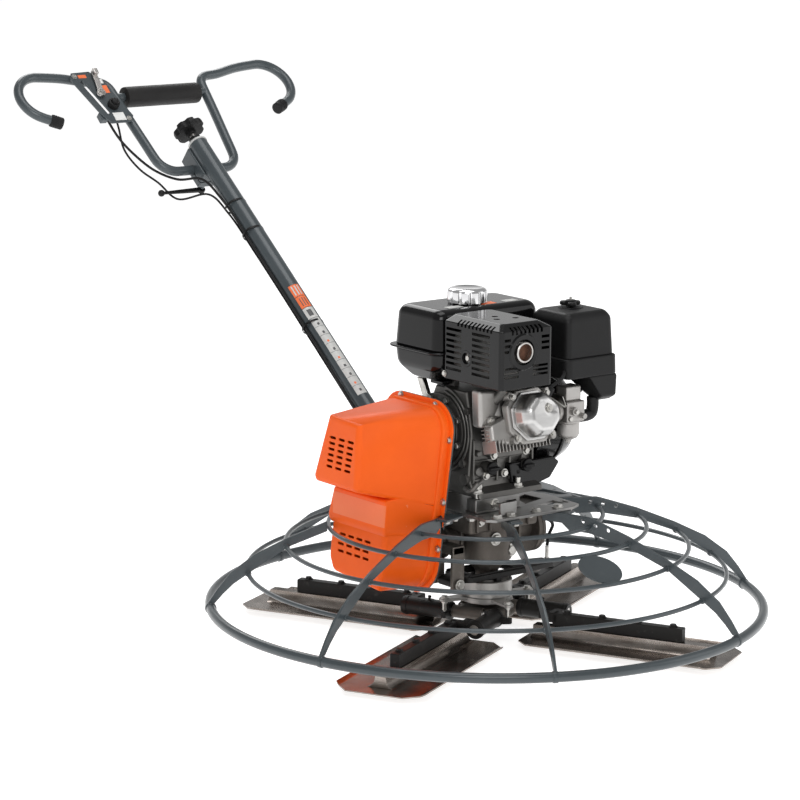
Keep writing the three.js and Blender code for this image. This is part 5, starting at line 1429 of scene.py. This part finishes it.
def stop_wire_route():
    points = [handle_point(-160, 100, 7), handle_point(-160, 64, -4), handle_point(-152, 20, -34),
              handle_point(-124, -28, -52), handle_point(-90, -70, -56), handle_point(-66, -126, -52),
              mast_point(920, SIDE - 4, -30), mast_point(840, SIDE + 1, -13)]
    points += [mast_point(s, SIDE + 2, -9.5) for s in (700, 400)] + [mast_point(180, SIDE + 1, -9.5)]
    return points + [(-34, 350, 356), (-26, 316, 372), (14, 268, 384), (48, 220, 420),
                     (58, 180, 432), (58, 142, 436)]


def pitch_cable_route():
    points = [mast_point(MAST_END - 46, 0, -6), mast_point(700, 0, -8), mast_point(300, 0, -9),
              mast_point(0, 0, -9), mast_point(-90, 0, -6)]
    return points + [(16, 166, 214), (60, 146, 206), (120, 142, 203), (168, 126, 204), (192, 80, 208),
                     (194, 30, 210), (180, -6, 206), (158, -20, 190), (152, -21, 167)]


for name, route, radius, node, length in (
    ("throttle_cable_sheath", throttle_route(), 3, "throttle_cable", 1.4),
    ("stop_wire_sheath", stop_wire_route(), 2.5, "stop_switch_wire", 1.43),
):
    cable = piece(name, [tube(route, radius, 12, per_span=10)], None, "rubber", [node])
    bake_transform(cable)
piece("pitch_cable_sheath", [tube(pitch_cable_route(), 3.6, 12)], "frame", "rubber", ["pitch_cable"])


def cable_ties():
    parts = []
    for s in (190, 460, 760, 850):
        band = lathe([(MAST_R + 0.2, -2.4), (MAST_R + 1.6, -2.4), (MAST_R + 1.6, 2.4), (MAST_R + 0.2, 2.4),
                      (MAST_R + 0.2, -2.4)], 48)
        band = moved(band, Matrix.Scale(1.17, 4, Vector((1, 0, 0))) @ rotation(-90, "X"))
        parts.append(moved(band, mast_frame() @ translation(-3.6, s, -1)))
    return parts


piece("cable_ties", cable_ties(), "frame", "black_plastic")

# ---------------------------------------------------------------- nodes shown as they are

for node, material in {"worm_bearing": "steel", "output_bearing": "steel", "drive_belt": "rubber",
                       "worm_wheel": "brass", "flywheel": "cast_iron", "clutch_drum": "steel",
                       "gearbox_pulley": "cast_iron"}.items():
    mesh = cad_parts[node].data
    mesh.materials.clear()
    mesh.materials.append(MATERIALS[material])

# ---------------------------------------------------------------- floor, light and camera


def studio_world():
    """White at the horizon and below it, darker overhead, so that glossy pieces keep their contrast."""
    world = bpy.data.worlds.new("studio")
    world.use_nodes = True
    tree = world.node_tree
    where = tree.nodes.new("ShaderNodeTexCoord")
    split = tree.nodes.new("ShaderNodeSeparateXYZ")
    fade = tree.nodes.new("ShaderNodeMapRange")
    fade.inputs["From Min"].default_value = 0.03
    fade.inputs["From Max"].default_value = 0.34
    fade.inputs["To Min"].default_value = 1.0
    fade.inputs["To Max"].default_value = 0.34
    tree.links.new(where.outputs["Generated"], split.inputs["Vector"])
    tree.links.new(split.outputs["Z"], fade.inputs["Value"])
    tree.links.new(fade.outputs["Result"], tree.nodes["Background"].inputs["Strength"])
    tree.nodes["Background"].inputs["Color"].default_value = (1, 1, 1, 1)
    bpy.context.scene.world = world


def studio():
    reach, level_z = 60000, -14  # the blades' edges dip under the slab at full pitch
    square = ((-reach, -reach), (reach, -reach), (reach, reach), (-reach, reach))
    corners = [(x, y, level_z) for x, y in square]
    floor = bpy.data.objects.new("floor", new_mesh(corners, [(0, 1, 2, 3)]))
    paper = surface("studio_floor", (0.8, 0.8, 0.8), (0.84, 0.84, 0.84), 0.9, patch=1.2,
                    bump=0.02, specular=0.0)
    shader = paper.node_tree.nodes["Principled BSDF"]
    shader.inputs["Emission Color"].default_value = (1, 1, 1, 1)
    shader.inputs["Emission Strength"].default_value = 0.72
    floor.data.materials.append(paper)
    bpy.context.scene.collection.objects.link(floor)
    lights = [("key", (-2.6, -3.4, 3.6), 2.4, 85), ("fill", (3.6, -2.6, 2.4), 2.6, 26),
              ("back", (1.2, 3.8, 3.4), 2.4, 60), ("top", (0.0, 0.2, 4.6), 2.6, 60)]
    for name, at, size, power in lights:
        lamp = bpy.data.lights.new(name, "AREA")
        lamp.size = size
        lamp.energy = power
        obj = bpy.data.objects.new(name, lamp)
        obj.location = at
        obj.rotation_euler = (Vector((0, 0.2, 0.4)) - Vector(at)).to_track_quat("-Z", "Y").to_euler()
        bpy.context.scene.collection.objects.link(obj)
    studio_world()
    bpy.context.scene.view_settings.view_transform = "Standard"


def camera():
    data = bpy.data.cameras.new("camera")
    data.lens = 140.77
    data.sensor_width = 36
    data.clip_end = 100
    obj = bpy.data.objects.new("camera", data)
    right = Vector((0.79006374, -0.61297768, 0.00759222))
    up = Vector((0.11414309, 0.15926415, 0.98061526))
    back = -Vector((0.60230444, 0.77388196, -0.195796))
    turn = Matrix((right, up, back)).transposed().to_4x4()
    obj.matrix_world = Matrix.Translation((-4.15709, -5.03372, 1.80426)) @ turn
    bpy.context.scene.collection.objects.link(obj)
    bpy.context.scene.camera = obj


studio()
camera()
